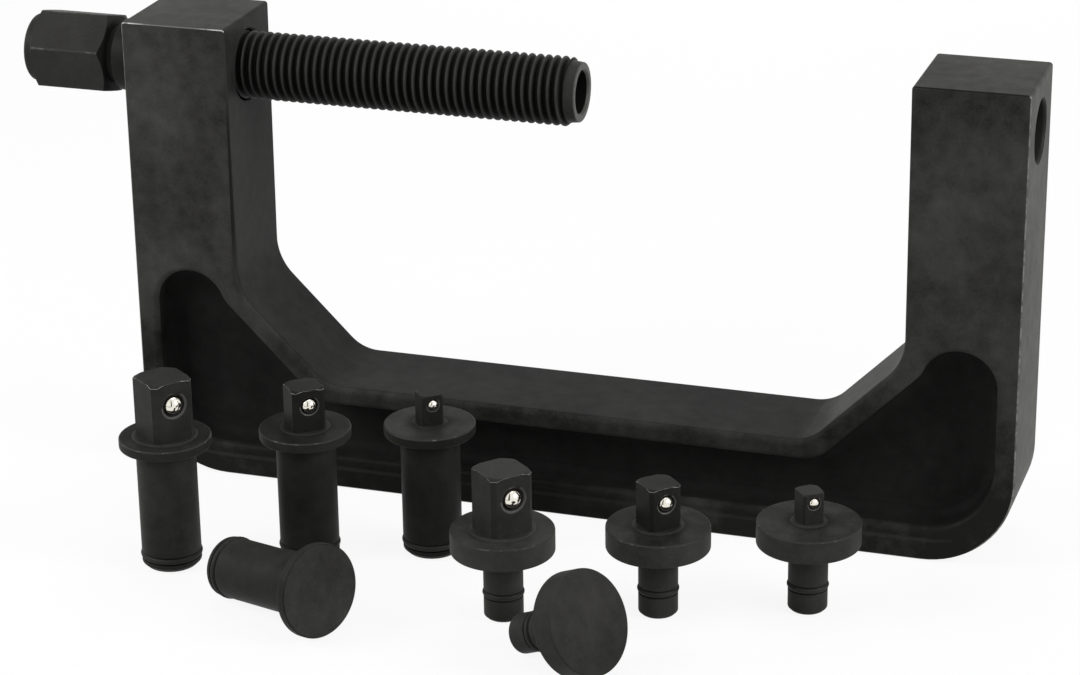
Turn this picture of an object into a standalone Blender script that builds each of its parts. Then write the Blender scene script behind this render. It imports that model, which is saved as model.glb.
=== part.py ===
"""A C-frame ball joint press: frame, forcing screw and a set of push-in adapters.

The frame stands on its beam with the origin under the middle of the base. +X runs along the screw
from the head to the nose, +Z is up, and the adapters stand in front of the frame at -Y. Metres.
"""

from collections import namedtuple
from math import asin, atan, atan2, ceil, cos, degrees, hypot, pi, radians, sin, sqrt, tan

import bmesh
import bpy
from mathutils import Matrix, Vector

# Clearances
SEAT_GAP = 0.0003
BORE_CLEARANCE = 0.00025
SCREW_CLEARANCE = 0.0004
BALL_CLEARANCE = 0.0002
SPRING_GAP = 0.00012

# Frame
FRAME_LENGTH = 0.2632
FRAME_HEIGHT = 0.1384
FRAME_THICKNESS = 0.0325
LEG_WIDTH = 0.0322
BEAM_HEIGHT = 0.0321
BRACE_REACH = 0.0266
BRACE_LEG_FILLET = 0.0160
BRACE_BEAM_FILLET = 0.0120
OUTER_CORNER_RADIUS = 0.0258
EDGE_RADIUS = 0.0007
LEG_CORNER_EASE = 0.0004

# Recessed panels, one on each side of the frame
RECESS_DEPTH = 0.0085
RECESS_OUTER_RIM = 0.0061
RECESS_INNER_RIM = 0.0046
RECESS_BRACE_RIM = 0.0058
RECESS_BEAM_RIM = 0.0058
RECESS_BASE_RIM = 0.0100
RECESS_ARCH_SWEEP = 157.5
RECESS_ARCH_BLEND = 0.0090
RECESS_BEAM_FILLET = 0.0100
RECESS_EDGE_RADIUS = 0.0015
RECESS_FLOOR_FILLET = 0.0020

# Forcing screw
SCREW_BELOW_TOP = 0.0147
THREAD_DIAMETER = 0.0198
THREAD_DEPTH = 0.00145
THREAD_PITCH = 0.0025
SCREW_REACH = 0.1339
NOSE_CHAMFER = 0.0015
NECK_DIAMETER = 0.0168
HEX_ACROSS_FLATS = 0.0222
HEX_LENGTH = 0.0233
HEX_FACE_INSET = 0.0003
HEX_CHAMFER_ANGLE = 30.0
HEX_TURN = 15.0
HEAD_PAD_STEP = 0.0011
HEAD_PAD_LENGTH = 0.0029
HEAD_PAD_EDGE = 0.0012
HEAD_RELIEF = 0.0024
COLLAR_WALL = 0.0017
COLLAR_LENGTH = 0.0066
COLLAR_EDGE = 0.0004
SCREW_BORE_CHAMFER = 0.0004
ANVIL_BORE_CHAMFER = 0.00055
SOCKET_CHAMFER = 0.0005
SOCKET_SPARE_DEPTH = 0.0010
DRILL_POINT_ANGLE = 118.0

# Adapters: the long shanks fit the anvil bore, and the short ones fit the socket in the screw's nose
LONG_SHANK_DIAMETER = 0.0168
LONG_SHANK_LENGTH = 0.0361
LONG_FLANGE_DIAMETER = 0.0259
LONG_FLANGE_THICKNESS = 0.0029
LONG_END_CHAMFER = 0.0013
LONG_RING_HEIGHT = 0.0035
SHORT_SHANK_DIAMETER = 0.0109
SHORT_SHANK_LENGTH = 0.0195
SHORT_FLANGE_DIAMETER = 0.0286
SHORT_FLANGE_THICKNESS = 0.0065
SHORT_END_CHAMFER = 0.0008
SHORT_RING_HEIGHT = 0.0073
FLANGE_EDGE = 0.0005
SHANK_FILLET = 0.0007
BOSS_MARGIN = 0.0006
BOSS_HEIGHT = 0.0004
RING_SECTION = 0.0018
RING_STANDS_PROUD = 0.0003

# Square drives
HALF_INCH_SQUARE = 0.0127
HALF_INCH_HEIGHT = 0.0175
HALF_INCH_BALL = 0.0058
HALF_INCH_BALL_HEIGHT = 0.0108
HALF_INCH_SPRING = 0.0042
HALF_INCH_WIRE = 0.00050
THREE_EIGHTHS_SQUARE = 0.009525
THREE_EIGHTHS_HEIGHT = 0.0125
THREE_EIGHTHS_BALL = 0.0046
THREE_EIGHTHS_BALL_HEIGHT = 0.0079
THREE_EIGHTHS_SPRING = 0.0031
THREE_EIGHTHS_WIRE = 0.00045
QUARTER_INCH_SQUARE = 0.00635
QUARTER_INCH_HEIGHT = 0.0091
QUARTER_INCH_BALL = 0.0032
QUARTER_INCH_BALL_HEIGHT = 0.0063
QUARTER_INCH_SPRING = 0.0021
QUARTER_INCH_WIRE = 0.00030
CORNER_SHARE = 0.133
TOP_CHAMFER_SHARE = 0.06
TOP_CORNER_SHARE = 0.20
BALL_PROUD_SHARE = 0.22
LIP_RADIUS_SHARE = 0.93
LIP_DEPTH_SHARE = 0.10
SPRING_RADIUS_SHARE = 0.58
SPRING_TURNS = 3

# How finely round shapes are faceted
ARC_STEP = 13.0
FRAME_BORE_SIDES = 36
SCREW_SIDES = 24
THREAD_SIDES = 12
ADAPTER_SIDES = 16
HOLE_SIDES = 12
RING_SECTION_SIDES = 6
BALL_SIDES = 12
SPRING_POINTS = 8

Square = namedtuple("Square", "side height ball ball_height spring wire")
Shank = namedtuple("Shank", "radius length flange_radius flange_thickness end_chamfer ring_height")

SQUARES = {
    "half_inch": Square(
        HALF_INCH_SQUARE, HALF_INCH_HEIGHT, HALF_INCH_BALL, HALF_INCH_BALL_HEIGHT,
        HALF_INCH_SPRING, HALF_INCH_WIRE,
    ),
    "three_eighths": Square(
        THREE_EIGHTHS_SQUARE, THREE_EIGHTHS_HEIGHT, THREE_EIGHTHS_BALL, THREE_EIGHTHS_BALL_HEIGHT,
        THREE_EIGHTHS_SPRING, THREE_EIGHTHS_WIRE,
    ),
    "quarter_inch": Square(
        QUARTER_INCH_SQUARE, QUARTER_INCH_HEIGHT, QUARTER_INCH_BALL, QUARTER_INCH_BALL_HEIGHT,
        QUARTER_INCH_SPRING, QUARTER_INCH_WIRE,
    ),
}
SHANKS = {
    "long": Shank(
        LONG_SHANK_DIAMETER / 2, LONG_SHANK_LENGTH, LONG_FLANGE_DIAMETER / 2, LONG_FLANGE_THICKNESS,
        LONG_END_CHAMFER, LONG_RING_HEIGHT,
    ),
    "short": Shank(
        SHORT_SHANK_DIAMETER / 2, SHORT_SHANK_LENGTH, SHORT_FLANGE_DIAMETER / 2, SHORT_FLANGE_THICKNESS,
        SHORT_END_CHAMFER, SHORT_RING_HEIGHT,
    ),
}

# The front of the set, and where each adapter stands: along X, behind that front, and the heading of its ball
SET_FRONT = 0.1005
STANDING = {
    ("long", "half_inch"): (-0.0960, 0.0231, -36.3),
    ("long", "three_eighths"): (-0.0607, 0.0397, -49.0),
    ("long", "quarter_inch"): (-0.0282, 0.0523, -48.1),
    ("short", "half_inch"): (0.0048, 0.0180, -41.0),
    ("short", "three_eighths"): (0.0444, 0.0321, -45.5),
    ("short", "quarter_inch"): (0.0827, 0.0461, -51.2),
}
# Where the shank end of each lying pad is, in the same way, and the heading from there to its disc
LYING = {
    "long": (-0.0728, 0.0094, -26.4),
    "short": (0.0160, 0.0, -22.8),
}

BLACK_STEEL = ("black_oxide_steel", (0.030, 0.030, 0.031, 1.0), 0.48, 0.75)
SCREW_STEEL = ("screw_steel", (0.024, 0.024, 0.024, 1.0), 0.42, 0.75)
BALL_STEEL = ("bearing_steel", (0.72, 0.70, 0.66, 1.0), 0.12, 1.0)
SPRING_STEEL = ("spring_steel", (0.42, 0.42, 0.43, 1.0), 0.30, 1.0)
RUBBER = ("nitrile_rubber", (0.012, 0.012, 0.012, 1.0), 0.62, 0.0)


def clear_scene():
    for obj in list(bpy.data.objects):
        bpy.data.objects.remove(obj)


def material(finish):
    name, colour, roughness, metallic = finish
    found = bpy.data.materials.get(name)
    if found:
        return found
    made = bpy.data.materials.new(name)
    made.use_nodes = True
    shader = made.node_tree.nodes["Principled BSDF"]
    shader.inputs["Base Color"].default_value = colour
    shader.inputs["Roughness"].default_value = roughness
    shader.inputs["Metallic"].default_value = metallic
    return made


def add_object(name, data, finish=None, parent=None, place=(0, 0, 0)):
    """Puts a mesh or a curve into the scene. With no finish it is a hidden cutter."""
    obj = bpy.data.objects.new(name, data)
    bpy.context.scene.collection.objects.link(obj)
    obj.parent = parent
    obj.location = place
    if finish:
        data.materials.append(material(finish))
    else:
        obj.hide_render = True
        obj.display_type = "WIRE"
    return obj


def finish_mesh(bm, name, turn=None, smooth=True):
    """Closes and orients a bmesh, and returns it as a mesh."""
    bmesh.ops.remove_doubles(bm, verts=bm.verts, dist=1e-6)
    bmesh.ops.recalc_face_normals(bm, faces=bm.faces)
    if turn:
        bmesh.ops.transform(bm, matrix=turn, verts=bm.verts)
    mesh = bpy.data.meshes.new(name)
    bm.to_mesh(mesh)
    bm.free()
    if smooth:
        mesh.shade_smooth()
        mesh.set_sharp_from_angle(angle=radians(32))
    else:
        mesh.shade_flat()
    return mesh


def turned(name, profile, sides, along="Z", closed=False):
    """A turned solid: (distance along the axis, radius) points spun about that axis."""
    bm = bmesh.new()
    line = [bm.verts.new((radius, 0, height)) for height, radius in profile]
    edges = [bm.edges.new(pair) for pair in zip(line, line[1:])]
    if closed:
        edges.append(bm.edges.new((line[-1], line[0])))
    bmesh.ops.spin(bm, geom=line + edges, cent=(0, 0, 0), axis=(0, 0, 1), angle=2 * pi, steps=sides)
    turn = Matrix.Rotation(pi / 2, 4, "Y") if along == "X" else None
    return finish_mesh(bm, name, turn)


def combine(obj, other, operation):
    modifier = obj.modifiers.new(other.name, "BOOLEAN")
    modifier.operation = operation
    modifier.object = other


def arc(centre, radius, start, end):
    """Points of an arc from one angle to another, in degrees, with both ends."""
    steps = max(2, round(abs(end - start) / ARC_STEP))
    angles = [radians(start + (end - start) * i / steps) for i in range(steps + 1)]
    return [Vector((centre[0] + radius * cos(a), centre[1] + radius * sin(a))) for a in angles]


def rounded_corner(before, corner, after, radius):
    """The arc that rounds a corner of an outline."""
    before, corner, after = Vector(before), Vector(corner), Vector(after)
    arriving = (corner - before).normalized()
    leaving = (after - corner).normalized()
    turn = arriving.angle_signed(leaving)
    side = -1 if turn > 0 else 1
    inward = Vector((-arriving.y, arriving.x)) * side
    start = corner - arriving * radius * tan(abs(turn) / 2)
    centre = start + inward * radius
    first = degrees(atan2(-inward.y, -inward.x))
    return arc(centre, radius, first, first + side * degrees(abs(turn)))


def mirrored(half):
    """A closed outline from its right half, which runs from the base's middle to the beam's."""
    return half + [Vector((-p.x, p.y)) for p in reversed(half)]


def frame_outline():
    outer = FRAME_LENGTH / 2
    inner = outer - LEG_WIDTH
    leg_corner = EDGE_RADIUS + LEG_CORNER_EASE
    corners = [
        ((0, 0), 0),
        ((outer, 0), OUTER_CORNER_RADIUS),
        ((outer, FRAME_HEIGHT), leg_corner),
        ((inner, FRAME_HEIGHT), leg_corner),
        ((inner, BEAM_HEIGHT + BRACE_REACH), BRACE_LEG_FILLET),
        ((inner - BRACE_REACH, BEAM_HEIGHT), BRACE_BEAM_FILLET),
        ((0, BEAM_HEIGHT), 0),
    ]
    half = []
    for (before, _), (corner, radius), (after, _) in zip(corners, corners[1:], corners[2:]):
        half += rounded_corner(before, corner, after, radius)
    return mirrored(half)


def recess_outline():
    """The panel's edge: a round arch up each leg, blended into the brace and the beam."""
    outer = FRAME_LENGTH / 2
    inner = outer - LEG_WIDTH
    wall = outer - RECESS_OUTER_RIM
    arch_radius = (LEG_WIDTH - RECESS_OUTER_RIM - RECESS_INNER_RIM) / 2
    # Along the brace the panel's edge is the line x - z = slant. The arch ends where it meets the blend.
    slant = inner - BEAM_HEIGHT - BRACE_REACH + RECESS_BRACE_RIM * sqrt(2)
    sweep = radians(RECESS_ARCH_SWEEP)
    to_blend = Vector((cos(sweep), sin(sweep))) * (arch_radius + RECESS_ARCH_BLEND)
    arch_x = wall - arch_radius
    arch_z = arch_x - slant + RECESS_ARCH_BLEND * sqrt(2) + to_blend.x - to_blend.y
    arch = Vector((arch_x, arch_z))
    under_beam = BEAM_HEIGHT - RECESS_BEAM_RIM
    brace_foot = Vector((slant + under_beam, under_beam))
    base_corner = Vector((wall, RECESS_BASE_RIM))
    corner_radius = OUTER_CORNER_RADIUS - RECESS_OUTER_RIM
    half = rounded_corner((0, RECESS_BASE_RIM), base_corner, (wall, arch_z), corner_radius)
    half += arc(arch, arch_radius, 0, RECESS_ARCH_SWEEP)
    half += arc(arch + to_blend, RECESS_ARCH_BLEND, RECESS_ARCH_SWEEP + 180, 315)
    half += rounded_corner(brace_foot + Vector((1, 1)), brace_foot, (0, under_beam), RECESS_BEAM_FILLET)
    return mirrored(half)


def offset_outline(outline, distance):
    """The outline moved out by a distance, or in where it is negative."""
    moved = []
    for before, point, after in zip(outline[-1:] + outline, outline, outline[1:] + outline[:1]):
        first = (point - before).normalized()
        second = (after - point).normalized()
        normals = Vector((first.y, -first.x)), Vector((second.y, -second.x))
        mitre = (normals[0] + normals[1]) / (1 + normals[0].dot(normals[1]))
        moved.append(point + mitre * distance)
    return moved


def distinct(outline):
    """The outline without points that repeat the one before them."""
    return [p for before, p in zip(outline[-1:] + outline, outline) if (p - before).length > 1e-6]


def quarter_round(radius):
    """(depth, inset) steps over a rounded edge, from the face to the wall."""
    half = 1 - sqrt(0.5)
    return [(0, radius), (radius * half, radius * half), (radius, 0)]


def add_loops(bm, outline, levels):
    """Skins the outline through (y, offset) levels and returns the edges of the first and last loops."""
    loops = [
        [bm.verts.new((p.x, y, p.y)) for p in offset_outline(outline, offset)] for y, offset in levels
    ]
    for low, high in zip(loops, loops[1:]):
        for i in range(len(low)):
            bm.faces.new((low[i - 1], low[i], high[i], high[i - 1]))
    ends = loops[0], loops[-1]
    return [[bm.edges.get((loop[i - 1], loop[i])) for i in range(len(loop))] for loop in ends]


def build_frame():
    bm = bmesh.new()
    face = FRAME_THICKNESS / 2
    edge = quarter_round(EDGE_RADIUS)
    rim = quarter_round(RECESS_EDGE_RADIUS)
    floor = [(RECESS_DEPTH - depth, -inset) for depth, inset in reversed(quarter_round(RECESS_FLOOR_FILLET))]
    skin = [(depth - face, -inset) for depth, inset in edge]
    skin += [(face - depth, -inset) for depth, inset in reversed(edge)]
    rims = add_loops(bm, distinct(frame_outline()), skin)
    panel = distinct(recess_outline())
    for side, rim_edges in zip((-1, 1), rims):
        levels = [(side * (face - depth), offset) for depth, offset in rim + floor]
        mouth, bottom = add_loops(bm, panel, levels)
        bmesh.ops.triangle_fill(bm, edges=rim_edges + mouth, use_beauty=True)
        bmesh.ops.triangle_fill(bm, edges=bottom, use_beauty=True)
    frame = add_object("c_frame", finish_mesh(bm, "c_frame"), BLACK_STEEL)
    outer = FRAME_LENGTH / 2
    bores = [
        ("screw_bore", -outer, THREAD_DIAMETER / 2 + SCREW_CLEARANCE, SCREW_BORE_CHAMFER),
        ("anvil_bore", outer - LEG_WIDTH, LONG_SHANK_DIAMETER / 2 + BORE_CLEARANCE, ANVIL_BORE_CHAMFER),
    ]
    for name, start, radius, chamfer in bores:
        past = 2 * chamfer
        profile = [
            (-past, 0),
            (-past, radius + chamfer + past),
            (chamfer, radius),
            (LEG_WIDTH - chamfer, radius),
            (LEG_WIDTH + past, radius + chamfer + past),
            (LEG_WIDTH + past, 0),
        ]
        mesh = turned(name, profile, FRAME_BORE_SIDES, "X")
        cutter = add_object(name, mesh, place=(start, 0, FRAME_HEIGHT - SCREW_BELOW_TOP))
        combine(frame, cutter, "DIFFERENCE")


def thread_mask(start, end):
    """A solid that cuts a plain screw to its thread: a helix past the start, and wide before it."""
    crest = THREAD_DIAMETER / 2
    root = crest - THREAD_DEPTH
    first = start - THREAD_PITCH
    shape = [(first, root), (first + THREAD_PITCH / 2, crest), (first + THREAD_PITCH, root)]
    turns = ceil((end - first) / THREAD_PITCH) + 1
    steps = turns * THREAD_SIDES
    rise = (0, 0, THREAD_PITCH / THREAD_SIDES)
    bm = bmesh.new()
    line = [bm.verts.new((radius, 0, along)) for along, radius in shape]
    ridge = line + [bm.edges.new(pair) for pair in zip(line, line[1:])]
    bmesh.ops.spin(bm, geom=ridge, axis=(0, 0, 1), angle=2 * pi * turns, dvec=rise, steps=steps)
    bmesh.ops.remove_doubles(bm, verts=bm.verts, dist=1e-6)
    for place, away in ((start, -1), (end, 1)):
        whole = bm.verts[:] + bm.edges[:] + bm.faces[:]
        plane = {"plane_co": (0, 0, place), "plane_no": (0, 0, away)}
        bmesh.ops.bisect_plane(bm, geom=whole, clear_outer=True, **plane)
    open_edges = [edge for edge in bm.edges if edge.is_boundary]
    nose = [edge for edge in open_edges if edge.verts[0].co.z > (start + end) / 2]
    bmesh.ops.edgeloop_fill(bm, edges=nose)
    rim = [edge for edge in open_edges if edge not in nose]
    for along in (start, start - end):
        made = bmesh.ops.extrude_edge_only(bm, edges=rim)["geom"]
        rim = [item for item in made if isinstance(item, bmesh.types.BMEdge)]
        for vert in (item for item in made if isinstance(item, bmesh.types.BMVert)):
            vert.co = (*(vert.co.xy.normalized() * 3 * crest), along)
    bmesh.ops.edgeloop_fill(bm, edges=rim)
    return finish_mesh(bm, "thread_mask", Matrix.Rotation(pi / 2, 4, "Y"))


def build_screw():
    """The collar and the screw. Their origins are on the screw's axis at the leg's outer face."""
    seat = (-FRAME_LENGTH / 2, 0, FRAME_HEIGHT - SCREW_BELOW_TOP)
    thread = THREAD_DIAMETER / 2
    neck = NECK_DIAMETER / 2
    collar_bore = neck + SCREW_CLEARANCE
    collar = collar_bore + COLLAR_WALL
    collar_edge = min(COLLAR_EDGE, 0.4 * COLLAR_WALL)
    collar_end = -SEAT_GAP - COLLAR_LENGTH
    ring = [
        (collar_end, collar_bore),
        (collar_end, collar - collar_edge),
        (collar_end + collar_edge, collar),
        (-SEAT_GAP - collar_edge, collar),
        (-SEAT_GAP, collar - collar_edge),
        (-SEAT_GAP, collar_bore),
    ]
    mesh = turned("thrust_collar", ring, SCREW_SIDES, "X", True)
    add_object("thrust_collar", mesh, SCREW_STEEL, place=seat)

    hex_end = collar_end - HEAD_RELIEF
    hex_start = hex_end - HEX_LENGTH
    middle = (hex_start + hex_end) / 2
    pad = HEX_ACROSS_FLATS / 2 - HEAD_PAD_STEP
    pad_end = hex_start - HEAD_PAD_LENGTH
    socket = SHORT_SHANK_DIAMETER / 2 + BORE_CLEARANCE
    socket_end = SCREW_REACH - SHORT_SHANK_LENGTH - SOCKET_SPARE_DEPTH
    drill_point = socket / tan(radians(DRILL_POINT_ANGLE / 2))
    nose_chamfer = min(NOSE_CHAMFER, 0.4 * (thread - socket))
    socket_chamfer = min(SOCKET_CHAMFER, 0.4 * (thread - socket))
    blank = thread + SCREW_CLEARANCE
    profile = [(pad_end, 0)]
    profile += [(pad_end + depth, pad - inset) for depth, inset in quarter_round(HEAD_PAD_EDGE)]
    profile += [
        (middle, pad),
        (middle, neck),
        (0, neck),
        (blank - neck, blank),
        (SCREW_REACH - nose_chamfer - SCREW_CLEARANCE, blank),
        (SCREW_REACH, thread - nose_chamfer),
        (SCREW_REACH, socket + socket_chamfer),
        (SCREW_REACH - socket_chamfer, socket),
        (socket_end, socket),
        (socket_end - drill_point, 0),
    ]
    mesh = turned("forcing_screw", profile, SCREW_SIDES, "X")
    screw = add_object("forcing_screw", mesh, SCREW_STEEL, place=seat)
    mask = add_object("thread_mask", thread_mask(SEAT_GAP, SCREW_REACH + THREAD_PITCH), parent=screw)
    combine(screw, mask, "INTERSECT")

    corner = HEX_ACROSS_FLATS / sqrt(3)
    first_corner = Matrix.Rotation(-radians(HEX_TURN), 4, "X") @ Matrix.Rotation(pi / 2, 4, "Y")
    bm = bmesh.new()
    bmesh.ops.create_cone(bm, cap_ends=True, segments=6, radius1=corner, radius2=corner, depth=HEX_LENGTH)
    bmesh.ops.transform(bm, matrix=Matrix.Translation((middle, 0, 0)) @ first_corner, verts=bm.verts)
    blank = add_object("hex_blank", finish_mesh(bm, "hex_blank", smooth=False), parent=screw)
    past = corner + SEAT_GAP
    face = HEX_ACROSS_FLATS / 2 - HEX_FACE_INSET
    chamfer = (past - face) * tan(radians(HEX_CHAMFER_ANGLE))
    envelope = [
        (hex_start, 0),
        (hex_start, face),
        (hex_start + chamfer, past),
        (hex_end - chamfer, past),
        (hex_end, face),
        (hex_end, 0),
    ]
    chamfers = add_object("hex_chamfers", turned("hex_chamfers", envelope, SCREW_SIDES, "X"), parent=screw)
    combine(blank, chamfers, "INTERSECT")
    combine(screw, blank, "UNION")


def ring_radius(shank):
    """The radius of the O-ring's centre line."""
    return shank.radius + RING_STANDS_PROUD - RING_SECTION / 2


def shank_profile(shank):
    """The turned profile of a shank and its flange, from the shank's end up to the flange's top edge."""
    groove = ring_radius(shank) - RING_SECTION / 2 - SEAT_GAP
    half_groove = RING_SECTION / 2 + SEAT_GAP
    top = shank.length + shank.flange_thickness
    return [
        (0, 0),
        (0, shank.radius - shank.end_chamfer),
        (shank.end_chamfer, shank.radius),
        (shank.ring_height - half_groove, shank.radius),
        (shank.ring_height - half_groove, groove),
        (shank.ring_height + half_groove, groove),
        (shank.ring_height + half_groove, shank.radius),
        (shank.length - SHANK_FILLET, shank.radius),
        (shank.length, shank.radius + SHANK_FILLET),
        (shank.length, shank.flange_radius - FLANGE_EDGE),
        (shank.length + FLANGE_EDGE, shank.flange_radius),
        (top - FLANGE_EDGE, shank.flange_radius),
        (top, shank.flange_radius - FLANGE_EDGE),
    ]


def add_ring(name, shank, parent):
    half = RING_SECTION / 2
    angles = [2 * pi * i / RING_SECTION_SIDES for i in range(RING_SECTION_SIDES)]
    section = [(shank.ring_height + half * sin(a), ring_radius(shank) + half * cos(a)) for a in angles]
    add_object(name, turned(name, section, ADAPTER_SIDES, closed=True), RUBBER, parent)


def square_loop(half_side, corner, height):
    """A square with rounded corners, at a height."""
    centre = half_side - corner
    points = []
    for quarter in range(4):
        turn = Matrix.Rotation(radians(90 * quarter), 3, "Z")
        for angle in (0, 45, 90):
            away = Vector((cos(radians(angle)), sin(radians(angle)), 0)) * corner
            points.append(turn @ (Vector((centre, centre, height)) + away))
    return points


def square_drive(name, square, foot, top):
    """The square, from a foot inside the flange to its chamfered top."""
    half = square.side / 2
    chamfer = square.side * TOP_CHAMFER_SHARE
    corner = square.side * CORNER_SHARE
    loops = [
        square_loop(half, corner, foot),
        square_loop(half, corner, top - chamfer),
        square_loop(half - chamfer, square.side * TOP_CORNER_SHARE, top),
    ]
    bm = bmesh.new()
    rings = [[bm.verts.new(p) for p in loop] for loop in loops]
    for low, high in zip(rings, rings[1:]):
        for i in range(len(low)):
            bm.faces.new((low[i - 1], low[i], high[i], high[i - 1]))
    bm.faces.new(rings[0])
    bm.faces.new(rings[-1])
    return finish_mesh(bm, name, smooth=False)


def add_detent(name, square, height, adapter):
    """The ball, its spring and their blind hole, along local +X through the middle of one face."""
    face = square.side / 2
    ball = square.ball / 2
    centre = face - ball * (1 - 2 * BALL_PROUD_SHARE)
    wire = square.wire / 2
    coil = ball * SPRING_RADIUS_SHARE
    near = centre - sqrt((ball + SPRING_GAP + wire) ** 2 - coil**2)
    far = near - square.spring
    bottom = far - wire - SPRING_GAP
    hole = ball + BALL_CLEARANCE
    lip = ball * LIP_RADIUS_SHARE
    lip_foot = face - ball * LIP_DEPTH_SHARE
    profile = [
        (bottom, 0),
        (bottom, hole),
        (lip_foot - (hole - lip), hole),
        (lip_foot, lip),
        (face + ball, lip),
        (face + ball, 0),
    ]
    mesh = turned(name + "_hole", profile, HOLE_SIDES, "X")
    combine(adapter, add_object(name + "_hole", mesh, parent=adapter, place=(0, 0, height)), "DIFFERENCE")

    bm = bmesh.new()
    bmesh.ops.create_uvsphere(bm, u_segments=BALL_SIDES, v_segments=BALL_SIDES // 2 + 1, radius=ball)
    add_object(name + "_ball", finish_mesh(bm, name + "_ball"), BALL_STEEL, adapter, (centre, 0, height))

    curve = bpy.data.curves.new(name + "_spring", "CURVE")
    curve.dimensions = "3D"
    curve.bevel_depth = wire
    curve.bevel_resolution = 1
    curve.use_fill_caps = True
    spline = curve.splines.new("POLY")
    count = SPRING_TURNS * SPRING_POINTS + 1
    spline.points.add(count - 1)
    for i, point in enumerate(spline.points):
        angle = 2 * pi * i / SPRING_POINTS
        point.co = (far + square.spring * i / (count - 1), coil * cos(angle), coil * sin(angle), 1)
    add_object(name + "_spring", curve, SPRING_STEEL, adapter, (0, 0, height))


def build_adapter(kind, size):
    """One square drive adapter, standing on the end of its shank."""
    shank = SHANKS[kind]
    square = SQUARES[size]
    x, behind, heading = STANDING[kind, size]
    name = f"{kind}_{size}"
    flange_top = shank.length + shank.flange_thickness
    half_diagonal = square.side * (0.5 * sqrt(2) - CORNER_SHARE * (sqrt(2) - 1))
    boss = half_diagonal + BOSS_MARGIN
    profile = shank_profile(shank) + [
        (flange_top, boss + BOSS_HEIGHT),
        (flange_top + BOSS_HEIGHT, boss),
        (flange_top + BOSS_HEIGHT, 0),
    ]
    mesh = turned(name, profile, ADAPTER_SIDES)
    adapter = add_object(name + "_adapter", mesh, BLACK_STEEL, place=(x, behind - SET_FRONT, 0))
    adapter.rotation_euler.z = radians(heading)
    foot = flange_top - shank.flange_thickness / 2
    drive = square_drive(name + "_square", square, foot, flange_top + square.height)
    combine(adapter, add_object(name + "_square", drive, parent=adapter), "UNION")
    add_detent(name, square, flange_top + square.ball_height, adapter)
    add_ring(name + "_ring", shank, adapter)


def lying_tilt(shank):
    """How far a pad's axis rises from its shank end when the flange and the shank both touch the floor."""
    reach = shank.length + FLANGE_EDGE - shank.end_chamfer
    on_end = atan((shank.flange_radius - shank.radius) / reach)
    reach = shank.length + FLANGE_EDGE - shank.ring_height
    drop = shank.flange_radius - ring_radius(shank)
    on_ring = atan2(drop, reach) - asin(RING_SECTION / 2 / hypot(drop, reach))
    return min(on_end, on_ring)


def build_pad(kind):
    """One flat press pad, lying on the floor on its flange and its shank."""
    shank = SHANKS[kind]
    x, behind, heading = LYING[kind]
    name = f"{kind}_press_pad"
    profile = shank_profile(shank) + [(shank.length + shank.flange_thickness, 0)]
    pad = add_object(name, turned(name, profile, ADAPTER_SIDES), BLACK_STEEL)
    tilt = lying_tilt(shank)
    side = pi / ADAPTER_SIDES
    lift = shank.flange_radius * cos(tilt) - (shank.length + FLANGE_EDGE) * sin(tilt)
    pad.location = (x, behind - SET_FRONT, lift)
    roll = Matrix.Rotation(side, 4, "Z")
    lean = Matrix.Rotation(pi / 2 - tilt, 4, "Y")
    pad.rotation_euler = (Matrix.Rotation(radians(heading), 4, "Z") @ lean @ roll).to_euler()
    add_ring(name + "_ring", shank, pad)


def main():
    clear_scene()
    build_frame()
    build_screw()
    for kind, size in STANDING:
        build_adapter(kind, size)
    for kind in LYING:
        build_pad(kind)


main()
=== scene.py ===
"""The looks of a C-frame ball joint press with its loose adapters and pads.

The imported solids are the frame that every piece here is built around. +X runs along the forcing
screw from its hex to its nose, +Z is up, and the loose pieces stand in front at -Y. Metres.
"""

import logging
from collections.abc import Callable, Sequence
from dataclasses import dataclass, field, replace
from enum import Enum
from math import asin, atan, atan2, cos, degrees, hypot, pi, radians, sin, sqrt, tan
from typing import Any

import bmesh
import bpy
from mathutils import Matrix, Vector


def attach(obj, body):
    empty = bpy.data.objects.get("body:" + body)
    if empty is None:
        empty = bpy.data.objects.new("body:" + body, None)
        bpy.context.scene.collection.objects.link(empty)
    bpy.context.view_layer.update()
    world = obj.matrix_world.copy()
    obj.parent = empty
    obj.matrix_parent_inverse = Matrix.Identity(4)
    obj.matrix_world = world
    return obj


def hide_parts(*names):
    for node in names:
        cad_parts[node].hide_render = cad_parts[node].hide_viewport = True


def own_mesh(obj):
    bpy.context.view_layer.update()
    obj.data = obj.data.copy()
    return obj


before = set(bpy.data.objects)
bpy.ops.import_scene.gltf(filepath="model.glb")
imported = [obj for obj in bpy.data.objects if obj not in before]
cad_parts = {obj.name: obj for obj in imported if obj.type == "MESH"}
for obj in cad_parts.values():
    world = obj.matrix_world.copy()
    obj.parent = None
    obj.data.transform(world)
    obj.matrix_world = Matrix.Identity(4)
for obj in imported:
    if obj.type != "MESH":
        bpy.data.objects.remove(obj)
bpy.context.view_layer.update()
LOG = logging.getLogger("press_set")

Point = tuple[float, float]
Colour = tuple[float, float, float]
Test = Callable[[Any], bool]

# How far a cutter or a hidden end reaches past a face.
PAST = 0.001
# Points nearer than this to each other are one.
DOUBLES = 2e-6
# A face whose normal leans less than this along an axis lies along that axis.
ALONG = 0.2


class Element(Enum):
    """What a selection in edit mode picks."""

    VERTS = "VERT"
    EDGES = "EDGE"
    FACES = "FACE"


class Cut(Enum):
    """How one solid is combined with another."""

    AWAY = "DIFFERENCE"
    KEEP_SHARED = "INTERSECT"
    JOIN = "UNION"


# Shader sheets


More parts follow.
